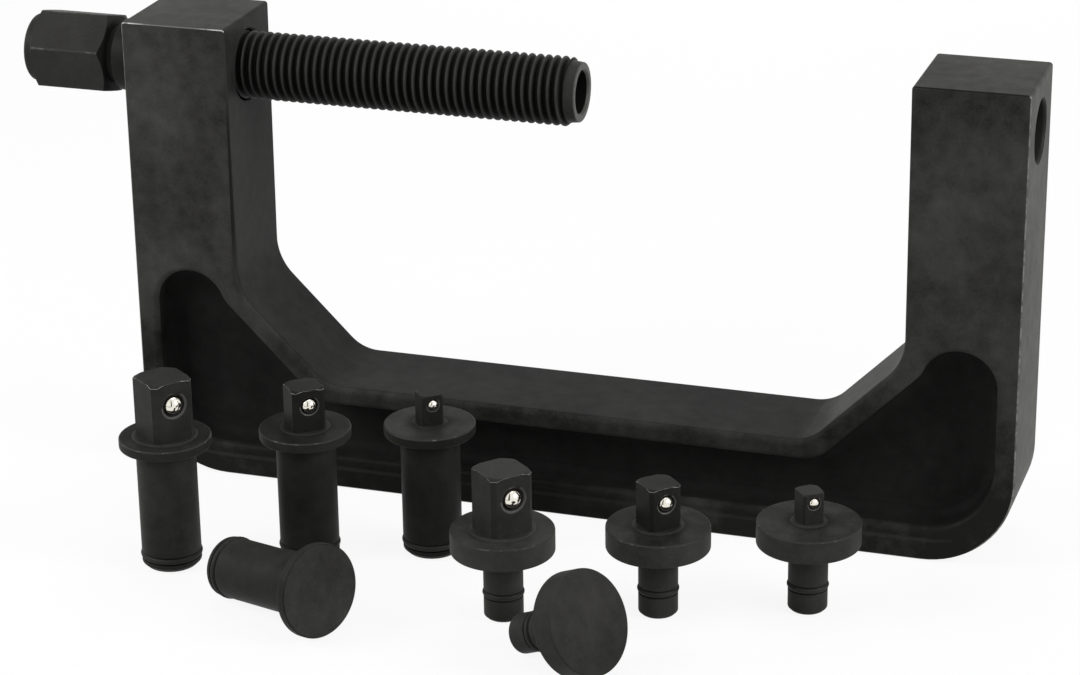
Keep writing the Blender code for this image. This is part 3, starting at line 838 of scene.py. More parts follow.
@dataclass
class CFrame:
    """The forged C-frame: two legs on a beam, with a recessed panel in each side."""

    length: float = 0.2632
    height: float = 0.1384
    thickness: float = 0.0325
    leg_width: float = 0.0322
    beam_height: float = 0.0321
    brace_reach: float = 0.0266
    leg_fillet: float = 0.0160
    beam_fillet: float = 0.0120
    base_corner: float = 0.0258
    leg_corner: float = 0.0010
    leg_top_edge: float = 0.00055
    leg_foot_edge: float = 0.0016
    beam_edge: float = 0.0017
    base_edge: float = 0.0008
    panel_depth: float = 0.0085
    outer_rim: float = 0.0061
    inner_rim: float = 0.0046
    brace_rim: float = 0.0058
    beam_rim: float = 0.0058
    base_rim: float = 0.0100
    arch_sweep: float = 157.5
    arch_blend: float = 0.0090
    panel_fillet: float = 0.0100
    panel_edge: float = 0.0017
    floor_fillet: float = 0.0042
    screw_below_top: float = 0.0147
    screw_bore: float = 0.0102
    anvil_bore: float = 0.00865
    bore_chamfer: float = 0.0006
    bore_round: float = 0.0012
    bore_sides: int = 96
    arc_step: float = 5.0
    edge_steps: int = 4
    panel_edge_steps: int = 5
    floor_steps: int = 6
    loop_gap: float = 0.00003
    groove_fade: float = 2.2
    # The base rim's shallow groove: how far in from the edge each of its lines is, and how deep.
    groove: tuple[Point, ...] = (
        (0.0050, 0.00001),
        (0.0056, 0.00004),
        (0.0061, 0.00024),
        (0.0066, 0.00044),
        (0.0071, 0.00046),
        (0.0078, 0.00024),
        (0.0082, 0.00002),
    )

    def outline(self) -> list[RimPoint]:
        """The frame's outline seen from the front, round from the middle of its base."""
        outer = self.length / 2
        inner = outer - self.leg_width
        corners = [
            (0.0, 0.0, 0.0, self.base_edge),
            (outer, 0.0, self.base_corner, self.base_edge),
            (outer, self.height, self.leg_corner, self.leg_top_edge),
            (inner, self.height, self.leg_corner, self.leg_top_edge),
            (inner, self.beam_height + self.brace_reach, self.leg_fillet, self.leg_foot_edge),
            (inner - self.brace_reach, self.beam_height, self.beam_fillet, self.beam_edge),
            (0.0, self.beam_height, 0.0, self.beam_edge),
        ]
        places = [Vector(corner[:2]) for corner in corners]
        half: list[RimPoint] = []
        for before, corner, after, given in zip(places, places[1:], places[2:], corners[1:]):
            points = rounded(before, corner, after, given[2], self.arc_step)
            for i, point in enumerate(points):
                share = i / (len(points) - 1) if corner.y == 0 else 1.0
                sink = ease(1 - self.groove_fade * share)
                half.append(RimPoint(point, given[3], ease(1 - share), sink))
        left = [replace(p, place=Vector((-p.place.x, p.place.y))) for p in reversed(half)]
        return half + left

    def panel_outline(self) -> list[Vector]:
        """The panel's edge: a round arch up each leg, blended into the brace and the beam."""
        outer = self.length / 2
        wall = outer - self.outer_rim
        radius = (self.leg_width - self.outer_rim - self.inner_rim) / 2
        slant = outer - self.leg_width - self.beam_height - self.brace_reach + self.brace_rim * sqrt(2)
        sweep = radians(self.arch_sweep)
        to_blend = Vector((cos(sweep), sin(sweep))) * (radius + self.arch_blend)
        arch = Vector((wall - radius, 0.0))
        arch.y = arch.x - slant + self.arch_blend * sqrt(2) + to_blend.x - to_blend.y
        under_beam = self.beam_height - self.beam_rim
        foot = Vector((slant + under_beam, under_beam))
        base = Vector((wall, self.base_rim))
        corner = self.base_corner - self.outer_rim
        step = self.arc_step
        half = rounded(Vector((0, self.base_rim)), base, arch + Vector((radius, 0)), corner, step)
        half += arc(arch, radius, 0, self.arch_sweep, step)[1:]
        half += arc(arch + to_blend, self.arch_blend, self.arch_sweep + 180, 315, step)[1:]
        half += rounded(foot + Vector((1, 1)), foot, Vector((0, under_beam)), self.panel_fillet, step)
        return half + [Vector((-p.x, p.y)) for p in reversed(half)]

    @staticmethod
    def moved_out(line: Sequence[Vector], distances: Sequence[float]) -> list[Vector]:
        """A closed line with each point moved out, or in where its distance is negative.

        Args:
            line: The points, anticlockwise.
            distances: How far each one moves.

        Returns:
            The moved points.
        """
        moved = []
        for i, point in enumerate(line):
            first = (point - line[i - 1]).normalized()
            second = (line[(i + 1) % len(line)] - point).normalized()
            normals = Vector((first.y, -first.x)), Vector((second.y, -second.x))
            mitre = (normals[0] + normals[1]) / (1 + normals[0].dot(normals[1]))
            moved.append(point + mitre * distances[i])
        return moved

    def rim_loops(self) -> list[list[Vector]]:
        """The loops from the frame's outer wall over its edge to the flat of its front."""
        rim = self.outline()
        line = [p.place for p in rim]
        face = self.thickness / 2
        loops = []
        for a in quarter(self.edge_steps):
            spots = self.moved_out(line, [-p.edge * (1 - cos(a)) for p in rim])
            loops.append([Vector((s.x, p.edge * (1 - sin(a)) - face, s.y)) for s, p in zip(spots, rim)])
        for i, (inset, depth) in enumerate(self.groove):
            side = self.loop_gap * (i + 1)
            insets = [-(p.edge + side) * (1 - p.foot) - inset * p.foot for p in rim]
            spots = self.moved_out(line, insets)
            loops.append([Vector((s.x, depth * p.sink - face, s.y)) for s, p in zip(spots, rim)])
        return loops

    def panel_loops(self) -> list[list[Vector]]:
        """The loops from the flat of the front over the panel's edge to its floor."""
        line = self.panel_outline()
        face = self.thickness / 2
        levels = []
        for a in quarter(self.panel_edge_steps):
            levels.append((self.panel_edge * (1 - cos(a)), self.panel_edge * (1 - sin(a))))
        for a in quarter(self.floor_steps):
            drop = self.panel_depth - self.floor_fillet * (1 - sin(a))
            levels.append((drop, -self.floor_fillet * (1 - cos(a))))
        levels.append((self.panel_depth, -self.floor_fillet - PAST))
        return [
            [Vector((p.x, depth - face, p.y)) for p in self.moved_out(line, [out] * len(line))]
            for depth, out in levels
        ]

    @staticmethod
    def skin(name: str, loops: Sequence[Sequence[Vector]]) -> bpy.types.Object:
        """A skin through loops, pulled from one to the next.

        Args:
            name: The object's name.
            loops: Loops with the same number of points.

        Returns:
            The skin in edit mode, with its last loop selected.
        """
        obj = Bench.start(name)
        Bench.draw(obj, loops[0], closed=True)
        bpy.ops.mesh.select_mode(type="EDGE")
        bpy.ops.mesh.select_all(action="SELECT")
        verts = bmesh.from_edit_mesh(obj.data).verts
        chain = [min(verts, key=lambda v, p=p: (v.co - p).length_squared).index for p in loops[0]]
        for loop in loops[1:]:
            bpy.ops.mesh.extrude_edges_move()
            bm = bmesh.from_edit_mesh(obj.data)
            bm.verts.ensure_lookup_table()
            bm.verts.index_update()
            pulled = []
            for index, spot in zip(chain, loop):
                old = bm.verts[index]
                new = next(e.other_vert(old) for e in old.link_edges if e.other_vert(old).select)
                new.co = spot
                pulled.append(new.index)
            chain = pulled
            bmesh.update_edit_mesh(obj.data)
        return obj

    def build(self) -> bpy.types.Object:
        """Models the frame: one side skinned over its edges and panel, mirrored, and bored."""
        rim = self.rim_loops()
        panel = self.panel_loops()
        wall = [Vector((p.x, 0.0, p.z)) for p in rim[0]]
        obj = self.skin("c_frame_body", [wall, *rim])
        floor = self.skin("c_frame_panel", panel)
        bpy.ops.mesh.edge_face_add()
        Bench.clear()
        Bench.join(obj, floor)
        Bench.edit(obj)
        ends = {self.key(p) for p in (*rim[-1], *panel[0])}
        Bench.choose(
            obj, Element.EDGES, lambda e: e.is_boundary and all(self.key(v.co) in ends for v in e.verts)
        )
        bpy.ops.mesh.fill(use_beauty=True)
        Bench.modify(obj, "MIRROR", use_axis=(False, True, False), merge_threshold=DOUBLES)
        Bench.edit(obj)
        Bench.close()
        self.bore(obj)
        Bench.smooth(obj)
        return obj

    @staticmethod
    def key(point: Vector) -> tuple[int, int, int]:
        """A point rounded to a hundredth of a millimetre."""
        return (round(point.x * 1e5), round(point.y * 1e5), round(point.z * 1e5))

    def bore(self, obj: bpy.types.Object) -> None:
        """Bores the screw's hole and the anvil's through the legs."""
        outer, ease_in, past = self.length / 2, self.bore_chamfer, 2 * PAST
        for start, radius in ((-outer, self.screw_bore), (outer - self.leg_width, self.anvil_bore)):
            wide = radius + ease_in + past
            profile = [
                (-past, 0.0, 0.0),
                (-past, wide, 0.0),
                (ease_in, radius, self.bore_round),
                (self.leg_width - ease_in, radius, self.bore_round),
                (self.leg_width + past, wide, 0.0),
                (self.leg_width + past, 0.0, 0.0),
            ]
            cutter = Bench.turn("bore", rounded_line(profile), self.bore_sides)
            Bench.place(cutter, lying((start, 0, self.height - self.screw_below_top)))
            Bench.combine(obj, cutter, Cut.AWAY)

    def dress(self, obj: bpy.types.Object) -> None:
        """Gives the rims, the panels, the walls and the edges their finishes, with painted shade low down,
        in the base rim's middle, in the panels, the bores and the opening and along two edges, and painted
        light on the foot edge, the ridge, the right leg's side and three front edges of the legs.
        """
        brow = self.height - 0.002
        waist = self.beam_height + self.brace_reach + 0.002
        # Painted shade: panels, panel walls, bores, the opening, the right leg's front top edge and the left
        # leg's inner front edge. Painted light: the foot edge, the ridge, the right leg's outer wall, the
        # left leg's front top and outer edges, and the right leg's front outer edge.
        finishes: tuple[tuple[BlackSteel | WearAndLightSteel, Test | None], ...] = (
            (FRAME_STEEL, None),
            (PANEL_STEEL, self.is_panel),
            (SHADOW_STEEL, lambda f: f.normal.z > ALONG and self.is_panel(f)),
            (FOOT_STEEL, self.is_foot_edge),
            (RIDGE_STEEL, self.is_ridge),
            (SIDE_STEEL, self.is_side),
            (BORE_STEEL, self.is_bore),
            (INNER_STEEL, self.is_inner),
            (SHADED_STEEL, lambda f: self.is_edge(f, 1, 0.0, 0.35, brow)),
            (LEFT_INNER_EDGE, lambda f: self.is_edge(f, -1, 0.5, -0.05, waist)),
            (LEFT_TOP_EDGE, lambda f: self.is_edge(f, -1, 0.0, 0.35, brow)),
            (LEFT_SIDE_EDGE, lambda f: self.is_edge(f, -1, -0.3, 0.0, 0.0)),
            (RIGHT_SIDE_EDGE, lambda f: self.is_edge(f, 1, 0.3, -1.0, 0.0)),
        )
        for finish, test in finishes:
            Bench.paint(obj, finish.material(), test)

    def is_panel(self, face: Any) -> bool:
        """Whether a face is on a panel's wall or floor."""
        front = self.thickness / 2
        shallow = front - self.panel_edge + 0.0001
        deep = front - self.panel_depth - 0.0001
        return all(deep < abs(v.co.y) < shallow for v in face.verts)

    def is_foot_edge(self, face: Any) -> bool:
        """Whether a face is on the long lower edges of the base."""
        return face.calc_center_median().z < self.base_edge and ALONG < abs(face.normal.y) < 0.98

    def is_ridge(self, face: Any) -> bool:
        """Whether a face is on the slope below the base rim's shallow groove."""
        low, high = self.groove[0][0], self.groove[4][0]
        return low < face.calc_center_median().z < high and face.normal.z > 0.1 and abs(face.normal.y) > 0.8

    def is_side(self, face: Any) -> bool:
        """Whether a face is on the right leg's outer wall, down to the middle of the base's corner."""
        outside = self.from_outside(face.calc_center_median()) < 0.0006
        return outside and face.normal.x > 0.25 and abs(face.normal.y) < ALONG

    def from_outside(self, place: Vector) -> float:
        """How far a place is in from a leg's outer wall or from the base's corner below it."""
        across = max(0.0, abs(place.x) - self.length / 2 + self.base_corner)
        drop = max(0.0, self.base_corner - place.z)
        return self.base_corner - hypot(across, drop)

    def is_bore(self, face: Any) -> bool:
        """Whether a face is on the wall of a bore."""
        middle = face.calc_center_median()
        away = hypot(middle.y, middle.z - self.height + self.screw_below_top)
        return abs(face.normal.x) < 0.9 and away < self.screw_bore + 0.0002

    def is_inner(self, face: Any) -> bool:
        """Whether a face is on the walls of the opening: the left leg's, the braces' tops or the beam's."""
        if abs(face.normal.y) > ALONG:
            return False
        middle = face.calc_center_median()
        inner = self.length / 2 - self.leg_width + 0.0005
        return abs(middle.x) < inner and middle.z > self.beam_height - 0.001 and face.normal.x > -0.3

    def is_edge(self, face: Any, side: int, across: float, up: float, above: float) -> bool:
        """Says whether a face lies on a front edge of a leg.

        Args:
            face: The face in edit mode.
            side: Which leg, -1 for the left and 1 for the right.
            across: How far the face turns sideways at least, 0 for any.
            up: How far it turns up at least.
            above: The height it is above.

        Returns:
            True on the edge.
        """
        turned = face.normal
        middle = face.calc_center_median()
        inner = self.length / 2 - self.leg_width
        on_leg = middle.x * side > inner - 0.001
        on_rim = self.from_outside(middle) < 0.003 or middle.x * side < inner + 0.003
        return (
            on_leg
            and (on_rim or middle.z > self.height - 0.003)
            and middle.z > above
            and middle.y < 0.001 - self.thickness / 2
            and -0.93 < turned.y < -0.38
            and turned.z >= up - 1e-3
            and abs(turned.z) < 0.95
            and turned.x * across >= across * across
        )

    def make(self) -> None:
        """Builds, dresses and hands over the frame."""
        obj = self.build()
        self.dress(obj)
        Bench.hand_over(obj, "c_frame", "black_oxide_steel", "c_frame")


# The screw and its collar


@dataclass
class ForcingScrew:
    """The forcing screw with its hex, and the collar trapped on its neck."""

    leg_face: float = -0.1316
    height: float = 0.1237
    crest: float = 0.0099
    root: float = 0.00845
    pitch: float = 0.0025
    crest_flat: float = 0.00030
    root_flat: float = 0.00046
    root_round: float = 0.00022
    crest_round: float = 0.00013
    thread_sides: int = 56
    thread_start: float = 0.0040
    thread_turn: float = -0.00055
    reach: float = 0.1339
    nose_length: float = 0.0029
    nose_start: float = 0.0088
    nose_end: float = 0.0085
    nose_edge: float = 0.0004
    socket: float = 0.0061
    socket_depth: float = 0.0205
    socket_chamfer: float = 0.0006
    drill_angle: float = 59.0
    sides: int = 112
    neck: float = 0.0084
    hex_flats: float = 0.0222
    hex_start: float = -0.0326
    hex_end: float = -0.0093
    hex_turn: float = 15.0
    hex_face_inset: float = 0.0003
    hex_edge: float = 0.00035
    hex_chamfer: float = 30.0
    stub: float = 0.0100
    stub_end: float = -0.0355
    stub_edge: float = 0.0012
    collar_bore: float = 0.0088
    collar_radius: float = 0.0105
    collar_start: float = -0.0069
    collar_end: float = -0.0003
    collar_edge: float = 0.0005

    def axis(self) -> Matrix:
        """Where the screw's axis is, from the leg's outer face."""
        return lying((self.leg_face, 0, self.height))

    def build_thread(self) -> bpy.types.Object:
        """Models the thread as a helix, ends it on a plain nose, and opens the socket in that."""
        flank = (self.pitch - self.crest_flat - self.root_flat) / 2
        low = self.root_flat / 2
        corners = [
            (0.0, self.root, 0.0),
            (low, self.root, self.root_round),
            (low + flank, self.crest, self.crest_round),
            (low + flank + self.crest_flat, self.crest, self.crest_round),
            (self.pitch - low, self.root, self.root_round),
            (self.pitch, self.root, 0.0),
        ]
        profile = rounded_line(corners, 30.0)
        obj = Bench.start("forcing_screw_thread")
        begin = self.thread_start - 2 * self.pitch + self.thread_turn
        Bench.draw(obj, [Vector((radius, 0, begin + along)) for along, radius in profile])
        Bench.wind(obj, self.pitch, round((self.reach - begin) / self.pitch) + 2, self.thread_sides)
        Bench.edit(obj)
        Bench.close()
        Bench.edit(obj)
        for place, away in ((self.thread_start, -1), (self.reach + PAST, 1)):
            bpy.ops.mesh.select_all(action="SELECT")
            bpy.ops.mesh.bisect(
                plane_co=(0, 0, place), plane_no=(0, 0, away), use_fill=True, clear_outer=True
            )
        Bench.close()
        back = self.thread_start - PAST
        bottom = self.reach - self.socket_depth
        tip = self.reach - self.nose_length
        filling = [
            (tip - PAST, 0.0, 0.0),
            (tip - PAST, self.root - 0.0003, 0.0),
            (tip, self.nose_start + 0.0004, 0.0),
            (self.reach + PAST / 2, self.nose_start + 0.0004, 0.0),
            (self.reach + PAST / 2, 0.0, 0.0),
        ]
        Bench.combine(obj, Bench.turn("screw_nose", rounded_line(filling), self.sides), Cut.JOIN)
        blank = [
            (back, 0.0, 0.0),
            (back, self.crest + PAST, 0.0),
            (tip - 0.0011, self.crest + PAST, 0.0),
            (tip, self.nose_start, 0.0003),
            (self.reach, self.nose_end, self.nose_edge),
            (self.reach, self.socket + self.socket_chamfer, 0.0003),
            (self.reach - self.socket_chamfer, self.socket, 0.0004),
            (bottom, self.socket, 0.0004),
            (bottom - self.socket / tan(radians(self.drill_angle)), 0.0, 0.0),
        ]
        Bench.combine(obj, Bench.turn("screw_blank", rounded_line(blank), self.sides), Cut.KEEP_SHARED)
        return obj

    def build_head(self) -> bpy.types.Object:
        """Models the hex with its chamfers, the stub behind it and the neck in front."""
        middle = (self.hex_start + self.hex_end) / 2
        corner = self.hex_flats / sqrt(3)
        sizes = {"vertices": 6, "radius": corner, "depth": self.hex_end - self.hex_start}
        add = bpy.ops.mesh.primitive_cylinder_add
        obj = Bench.add("forcing_screw_head", add, location=(0, 0, middle), **sizes)
        # Seen along the screw one corner is just above the front: local -X is up, and local Y stays Y.
        Bench.place(obj, Matrix.Rotation(radians(self.hex_turn - 90), 4, "Z"))
        Bench.edit(obj)
        Bench.choose(obj, Element.EDGES, lambda e: abs(e.verts[0].co.z - e.verts[1].co.z) > 0.01)
        bpy.ops.mesh.bevel(offset=self.hex_edge, segments=3, affect="EDGES")
        bpy.ops.object.mode_set(mode="OBJECT")
        past = corner + PAST / 2
        face = self.hex_flats / 2 - self.hex_face_inset
        slope = (past - face) * tan(radians(self.hex_chamfer))
        blank = [
            (self.hex_start, 0.0, 0.0),
            (self.hex_start, face, 0.0003),
            (self.hex_start + slope, past, 0.0),
            (self.hex_end - slope, past, 0.0),
            (self.hex_end, face, 0.0003),
            (self.hex_end, 0.0, 0.0),
        ]
        Bench.combine(obj, Bench.turn("hex_blank", rounded_line(blank), 120), Cut.KEEP_SHARED)
        stub = [
            (self.stub_end + 0.0022, 0.0, 0.0),
            (self.stub_end + 0.0012, 0.0014, 0.0),
            (self.stub_end, 0.0024, 0.0002),
            (self.stub_end, self.stub, self.stub_edge),
            (self.hex_start + PAST, self.stub, 0.0),
            (self.hex_start + PAST, 0.0, 0.0),
        ]
        neck = [
            (self.hex_end - PAST, 0.0, 0.0),
            (self.hex_end - PAST, self.neck, 0.0),
            (0.0, self.neck, 0.0005),
            (self.crest - self.neck, self.crest, 0.0005),
            (self.thread_start + PAST, self.crest, 0.0),
            (self.thread_start + PAST, 0.0, 0.0),
        ]
        shells = [Bench.turn("stub", rounded_line(stub), 96), Bench.turn("neck", rounded_line(neck), 96)]
        Bench.join(obj, *shells)
        return obj

    def is_nose(self, face: Any) -> bool:
        """Whether a face is at the nose's very end, before the screw is put in its place."""
        return face.calc_center_median().z > self.reach - 0.0008

    def is_hex_edge(self, face: Any) -> bool:
        """Whether a face is one of the hex's rounded edges, before the screw is put in its place."""
        off = (degrees(atan2(face.normal.y, face.normal.x)) + 90 - self.hex_turn) % 60
        middle = face.calc_center_median()
        edge = abs(face.normal.z) < 0.02 and abs(off - 30) < 22
        chamfer = -0.95 < face.normal.z < -0.3 and middle.xy.length > self.hex_flats / 2 + 0.0001
        return self.hex_start < middle.z < self.hex_end and (edge or chamfer)

    def build_collar(self) -> bpy.types.Object:
        """Models the collar with its eased edges."""
        start, end, edge = self.collar_start, self.collar_end, self.collar_edge
        ring = [
            (start, (self.collar_bore + self.collar_radius) / 2, 0.0),
            (start, self.collar_radius, edge),
            (end, self.collar_radius, edge),
            (end, self.collar_bore, 0.0002),
            (start, self.collar_bore, 0.0002),
            (start, (self.collar_bore + self.collar_radius) / 2 - 1e-5, 0.0),
        ]
        return Bench.turn("thrust_collar_ring", rounded_line(ring, 22.5), 96, ring=True)

    def make(self) -> None:
        """Builds, dresses and hands over the screw and its collar."""
        axis = self.axis()
        thread, head, collar = self.build_thread(), self.build_head(), self.build_collar()
        plain = SCREW_STEEL.material()
        # The thread takes painted shade in its roots, and the collar painted shade in its gap.
        pieces = (
            (thread, THREAD_STEEL.material(axis), "forcing_screw"),
            (head, plain, "forcing_screw"),
            (collar, COLLAR_STEEL.material(), "thrust_collar"),
        )
        tip = self.reach - self.nose_length - 0.0001
        for obj, finish, body in pieces:
            Bench.paint(obj, finish)
            if obj == thread:
                Bench.paint(obj, plain, lambda f: all(v.co.z > tip for v in f.verts))
                # Painted light on the nose's end face.
                Bench.paint(obj, NOSE_STEEL.material(), lambda f: f.normal.z > 0.3 and self.is_nose(f))
            if obj == head:
                # Wear and a painted highlight on the hex's edges and chamfer.
                Bench.paint(obj, HEX_EDGE.material(), self.is_hex_edge)
            Bench.place(obj, axis)
            Bench.smooth(obj, 35.0)
            Bench.hand_over(obj, body, "screw_steel", body)


# The adapters and pads


@dataclass(frozen=True)
class Shank:
    """A turned shank with its flange, standing on its end."""

    name: str
    radius: float
    length: float
    flange: float
    flange_thickness: float
    end_chamfer: float
    ring_height: float
    ring_section: float = 0.0018
    ring_proud: float = 0.0003
    flange_edge: float = 0.0005
    fillet: float = 0.0008
    sides: int = 112

    @property
    def top(self) -> float:
        """The height of the flange's top."""
        return self.length + self.flange_thickness

    @property
    def ring_radius(self) -> float:
        """The radius of the ring's centre line."""
        return self.radius + self.ring_proud - self.ring_section / 2

    def profile(self) -> list[tuple[float, float, float]]:
        """The corners from the middle of the end to the flange's top edge."""
        groove = self.ring_radius - self.ring_section / 2 - 0.0002
        half = self.ring_section / 2 + 0.00022
        return [
            (0.0, 0.0, 0.0),
            (0.0, self.radius - self.end_chamfer, 0.0003),
            (self.end_chamfer, self.radius, 0.0005),
            (self.ring_height - half, self.radius, 0.00015),
            (self.ring_height - half, groove, 0.0),
            (self.ring_height + half, groove, 0.0),
            (self.ring_height + half, self.radius, 0.00015),
            (self.length, self.radius, self.fillet),
            (self.length, self.flange, self.flange_edge),
            (self.top, self.flange, self.flange_edge),
        ]

    def is_rim(self, face: Any) -> bool:
        """Whether a face is on the flange's rim, before the piece is put in its place."""
        return abs(face.normal.z) < 0.2 and face.calc_center_median().xy.length > self.flange - 0.0005

    def is_top(self, face: Any) -> bool:
        """Whether a face is on the flange's flat top."""
        return face.normal.z > 0.95 and abs(face.calc_center_median().z - self.top) < 0.00012

    def is_top_edge(self, face: Any) -> bool:
        """Whether a face is on the rounded edge of the flange's top."""
        return 0.3 < face.normal.z < 0.95 and face.calc_center_median().xy.length > self.flange - 0.0006

    def is_above(self, face: Any) -> bool:
        """Whether a face is well above the flange."""
        return face.calc_center_median().z > self.top + 0.0015

    def build_ring(self) -> bpy.types.Object:
        """Models the rubber ring in its groove, round in section with its flash line."""
        half = self.ring_section / 2
        section = []
        for i in range(20):
            a = 2 * pi * i / 20
            swell = half * (1.02 if i in (0, 10) else 1.0)
            section.append((self.ring_height + swell * sin(a), self.ring_radius + swell * cos(a)))
        obj = Bench.turn(self.name + "_rubber_ring", section, self.sides, ring=True)
        Bench.smooth(obj, 60.0)
        Bench.paint(obj, RING_RUBBER.material())
        return obj


@dataclass(frozen=True)
class Square:
    """A square drive with its sprung detent ball."""

    name: str
    side: float
    height: float
    ball: float
    ball_height: float
    spring: float
    wire: float
    corner: float = 0.098
    chamfer_start: float = 0.545
    chamfer_angle: float = 24.0
    edge: float = 0.00036
    proud: float = 0.22
    turns: int = 3
    coil: float = 0.58
    coil_sides: int = 28
    countersink: float = 1.26
    lip: float = 0.985

    @property
    def half_diagonal(self) -> float:
        """From the axis to the edges of a cut corner."""
        return self.side * hypot(0.5, 0.5 - self.corner)

    @property
    def ball_centre(self) -> float:
        """From the axis to the ball's centre."""
        return self.side / 2 - self.ball / 2 * (1 - 2 * self.proud)

    @property
    def sunk_lip(self) -> tuple[float, float, float]:
        """The radius of the ball hole's lip and of its sunk mouth, and how deep the mouth is."""
        lip, mouth = self.ball / 2 * self.lip, self.ball / 2 * self.countersink
        return lip, mouth, (mouth - lip) * 0.7

    def is_wear_and_highlight_edge(self, face: Any, top: float) -> bool:
        """Whether a face of the square, before the adapter is put in its place, is an edge of its top."""
        high = face.calc_center_median().z > top - 0.16 * self.side
        return high and 0.12 < face.normal.z < 0.88

    def is_lip(self, face: Any, ball_height: float, outer: bool) -> bool:
        """Whether a face is on the sunk lip of the ball's hole: the inner half, for painted shade, or the
        outer half's side toward the light, for a painted highlight.

        Args:
            face: The face, before the adapter is put in its place.
            ball_height: The height of the ball's centre.
            outer: Asks for the outer half's side toward the light, not the inner half.

        Returns:
            True where it is.
        """
        middle = face.calc_center_median()
        lip, mouth, _ = self.sunk_lip
        half = lip + (mouth - lip) * 0.45
        away = hypot(middle.y, middle.z - ball_height)
        sunk = self.side / 2 - middle.x
        lit = 0.42 * middle.y - 0.91 * (middle.z - ball_height) > -0.45 * away
        inside = lit and half < away < 1.02 * mouth if outer else away <= half
        return 1e-6 < sunk < self.side / 2 and inside

    def build(self, name: str, foot: float, top: float, ball_height: float) -> bpy.types.Object:
        """Models the square, its turned chamfer, and the staked hole of its ball.

        Args:
            name: The object's name.
            foot: The height it starts at, inside the flange.
            top: The height of its top.
            ball_height: The height of the ball's centre.

        Returns:
            The square.
        """
        obj = Bench.add(name, bpy.ops.mesh.primitive_cube_add, size=1.0, location=(0, 0, (foot + top) / 2))
        obj.scale = (self.side, self.side, top - foot)
        Bench.fix()
        Bench.edit(obj)
        Bench.choose(obj, Element.EDGES, lambda e: abs(e.verts[0].co.z - e.verts[1].co.z) > 0.001)
        bpy.ops.mesh.bevel(offset=self.side * self.corner, segments=1, affect="EDGES")
        Bench.close()
        start = self.side * self.chamfer_start
        past = self.half_diagonal + PAST
        drop = (past - start) * tan(radians(self.chamfer_angle))
        envelope = [
            (foot - PAST, 0.0, 0.0),
            (foot - PAST, past, 0.0),
            (top - drop, past, 0.0),
            (top, start, 0.0004),
            (top, 0.0, 0.0),
        ]
        Bench.combine(obj, Bench.turn("square_blank", rounded_line(envelope), 96), Cut.KEEP_SHARED)
        Bench.edit(obj)
        bpy.ops.mesh.select_all(action="SELECT")
        bpy.ops.mesh.dissolve_limited(angle_limit=radians(0.5))
        low = top - drop
        count = Bench.choose(
            obj,
            Element.EDGES,
            lambda e: len(e.link_faces) == 2
            and min(v.co.z for v in e.verts) > low
            and e.calc_face_angle_signed(0.0) > radians(35),
        )
        if count:
            bpy.ops.mesh.bevel(offset=self.edge, segments=2, affect="EDGES", clamp_overlap=True)
        Bench.close()
        Bench.combine(obj, self.hole_cutter(ball_height), Cut.AWAY)
        return obj

    def hole_cutter(self, height: float) -> bpy.types.Object:
        """The cutter of the ball's hole, with the sunk lip that holds the ball in."""
        ball = self.ball / 2
        face = self.side / 2
        lip, mouth, slope = self.sunk_lip
        bottom = self.ball_centre - ball - self.spring - self.wire
        profile = [
            (bottom, 0.0),
            (bottom, ball + 0.0002),
            (face - slope - ball * 0.12, ball + 0.0002),
            (face - slope, lip),
            (face - slope * 0.35, lip + (mouth - lip) * 0.45),
            (face, mouth),
            (face + ball, mouth + ball),
            (face + ball, 0.0),
        ]
        cutter = Bench.turn("ball_hole", profile, 48)
        Bench.place(cutter, lying((0, 0, height)))
        return cutter

    def build_ball(self) -> bpy.types.Object:
        """Models the ball about its own centre."""
        half = self.ball / 2
        line = [(-half * cos(pi * i / 20), half * sin(pi * i / 20)) for i in range(21)]
        line[0], line[-1] = (-half, 0.0), (half, 0.0)
        obj = Bench.turn(self.name + "_detent_ball", line, 40)
        Bench.smooth(obj, 60.0)
        Bench.paint(obj, BALL_STEEL.material())
        return obj

    def build_spring(self) -> bpy.types.Object:
        """Models the ball's coil spring along Z from its far end, with both ends closed."""
        coil = self.ball / 2 * self.coil
        place = {"location": (coil, 0, 0), "rotation": (pi / 2, 0, 0)}
        add = bpy.ops.mesh.primitive_circle_add
        obj = Bench.add(self.name + "_detent_spring", add, vertices=10, radius=self.wire / 2, **place)
        Bench.fix()
        Bench.wind(obj, self.spring / self.turns, self.turns, self.coil_sides)
        Bench.edit(obj)
        bpy.ops.mesh.select_all(action="SELECT")
        bpy.ops.mesh.fill_holes(sides=0)
        Bench.close()
        Bench.smooth(obj, 50.0)
        Bench.paint(obj, WIRE_STEEL.material())
        return obj

    @property
    def spring_far(self) -> float:
        """From the axis to the far end of the spring."""
        ball = self.ball / 2
        reach = (ball + 0.00012 + self.wire / 2) ** 2 - (ball * self.coil) ** 2
        return self.ball_centre - sqrt(reach) - self.spring

    @property
    def pressed_spring(self) -> float:
        """The share of the spring's length that is left when its ball is pressed in flush."""
        return 1 - self.proud * self.ball / self.spring


LONG = Shank("long", 0.0084, 0.0361, 0.01295, 0.0029, 0.0013, 0.0035)
SHORT = Shank("short", 0.00545, 0.0195, 0.0143, 0.0065, 0.0008, 0.0073)
HALF_INCH = Square("half_inch", 0.0127, 0.0175, 0.0058, 0.0108, 0.0042, 0.0005, countersink=1.38)
THREE_EIGHTHS = Square("three_eighths", 0.009525, 0.0125, 0.0046, 0.0079, 0.0031, 0.00045)
QUARTER_INCH = Square("quarter_inch", 0.00635, 0.0091, 0.0032, 0.0063, 0.0021, 0.0003)


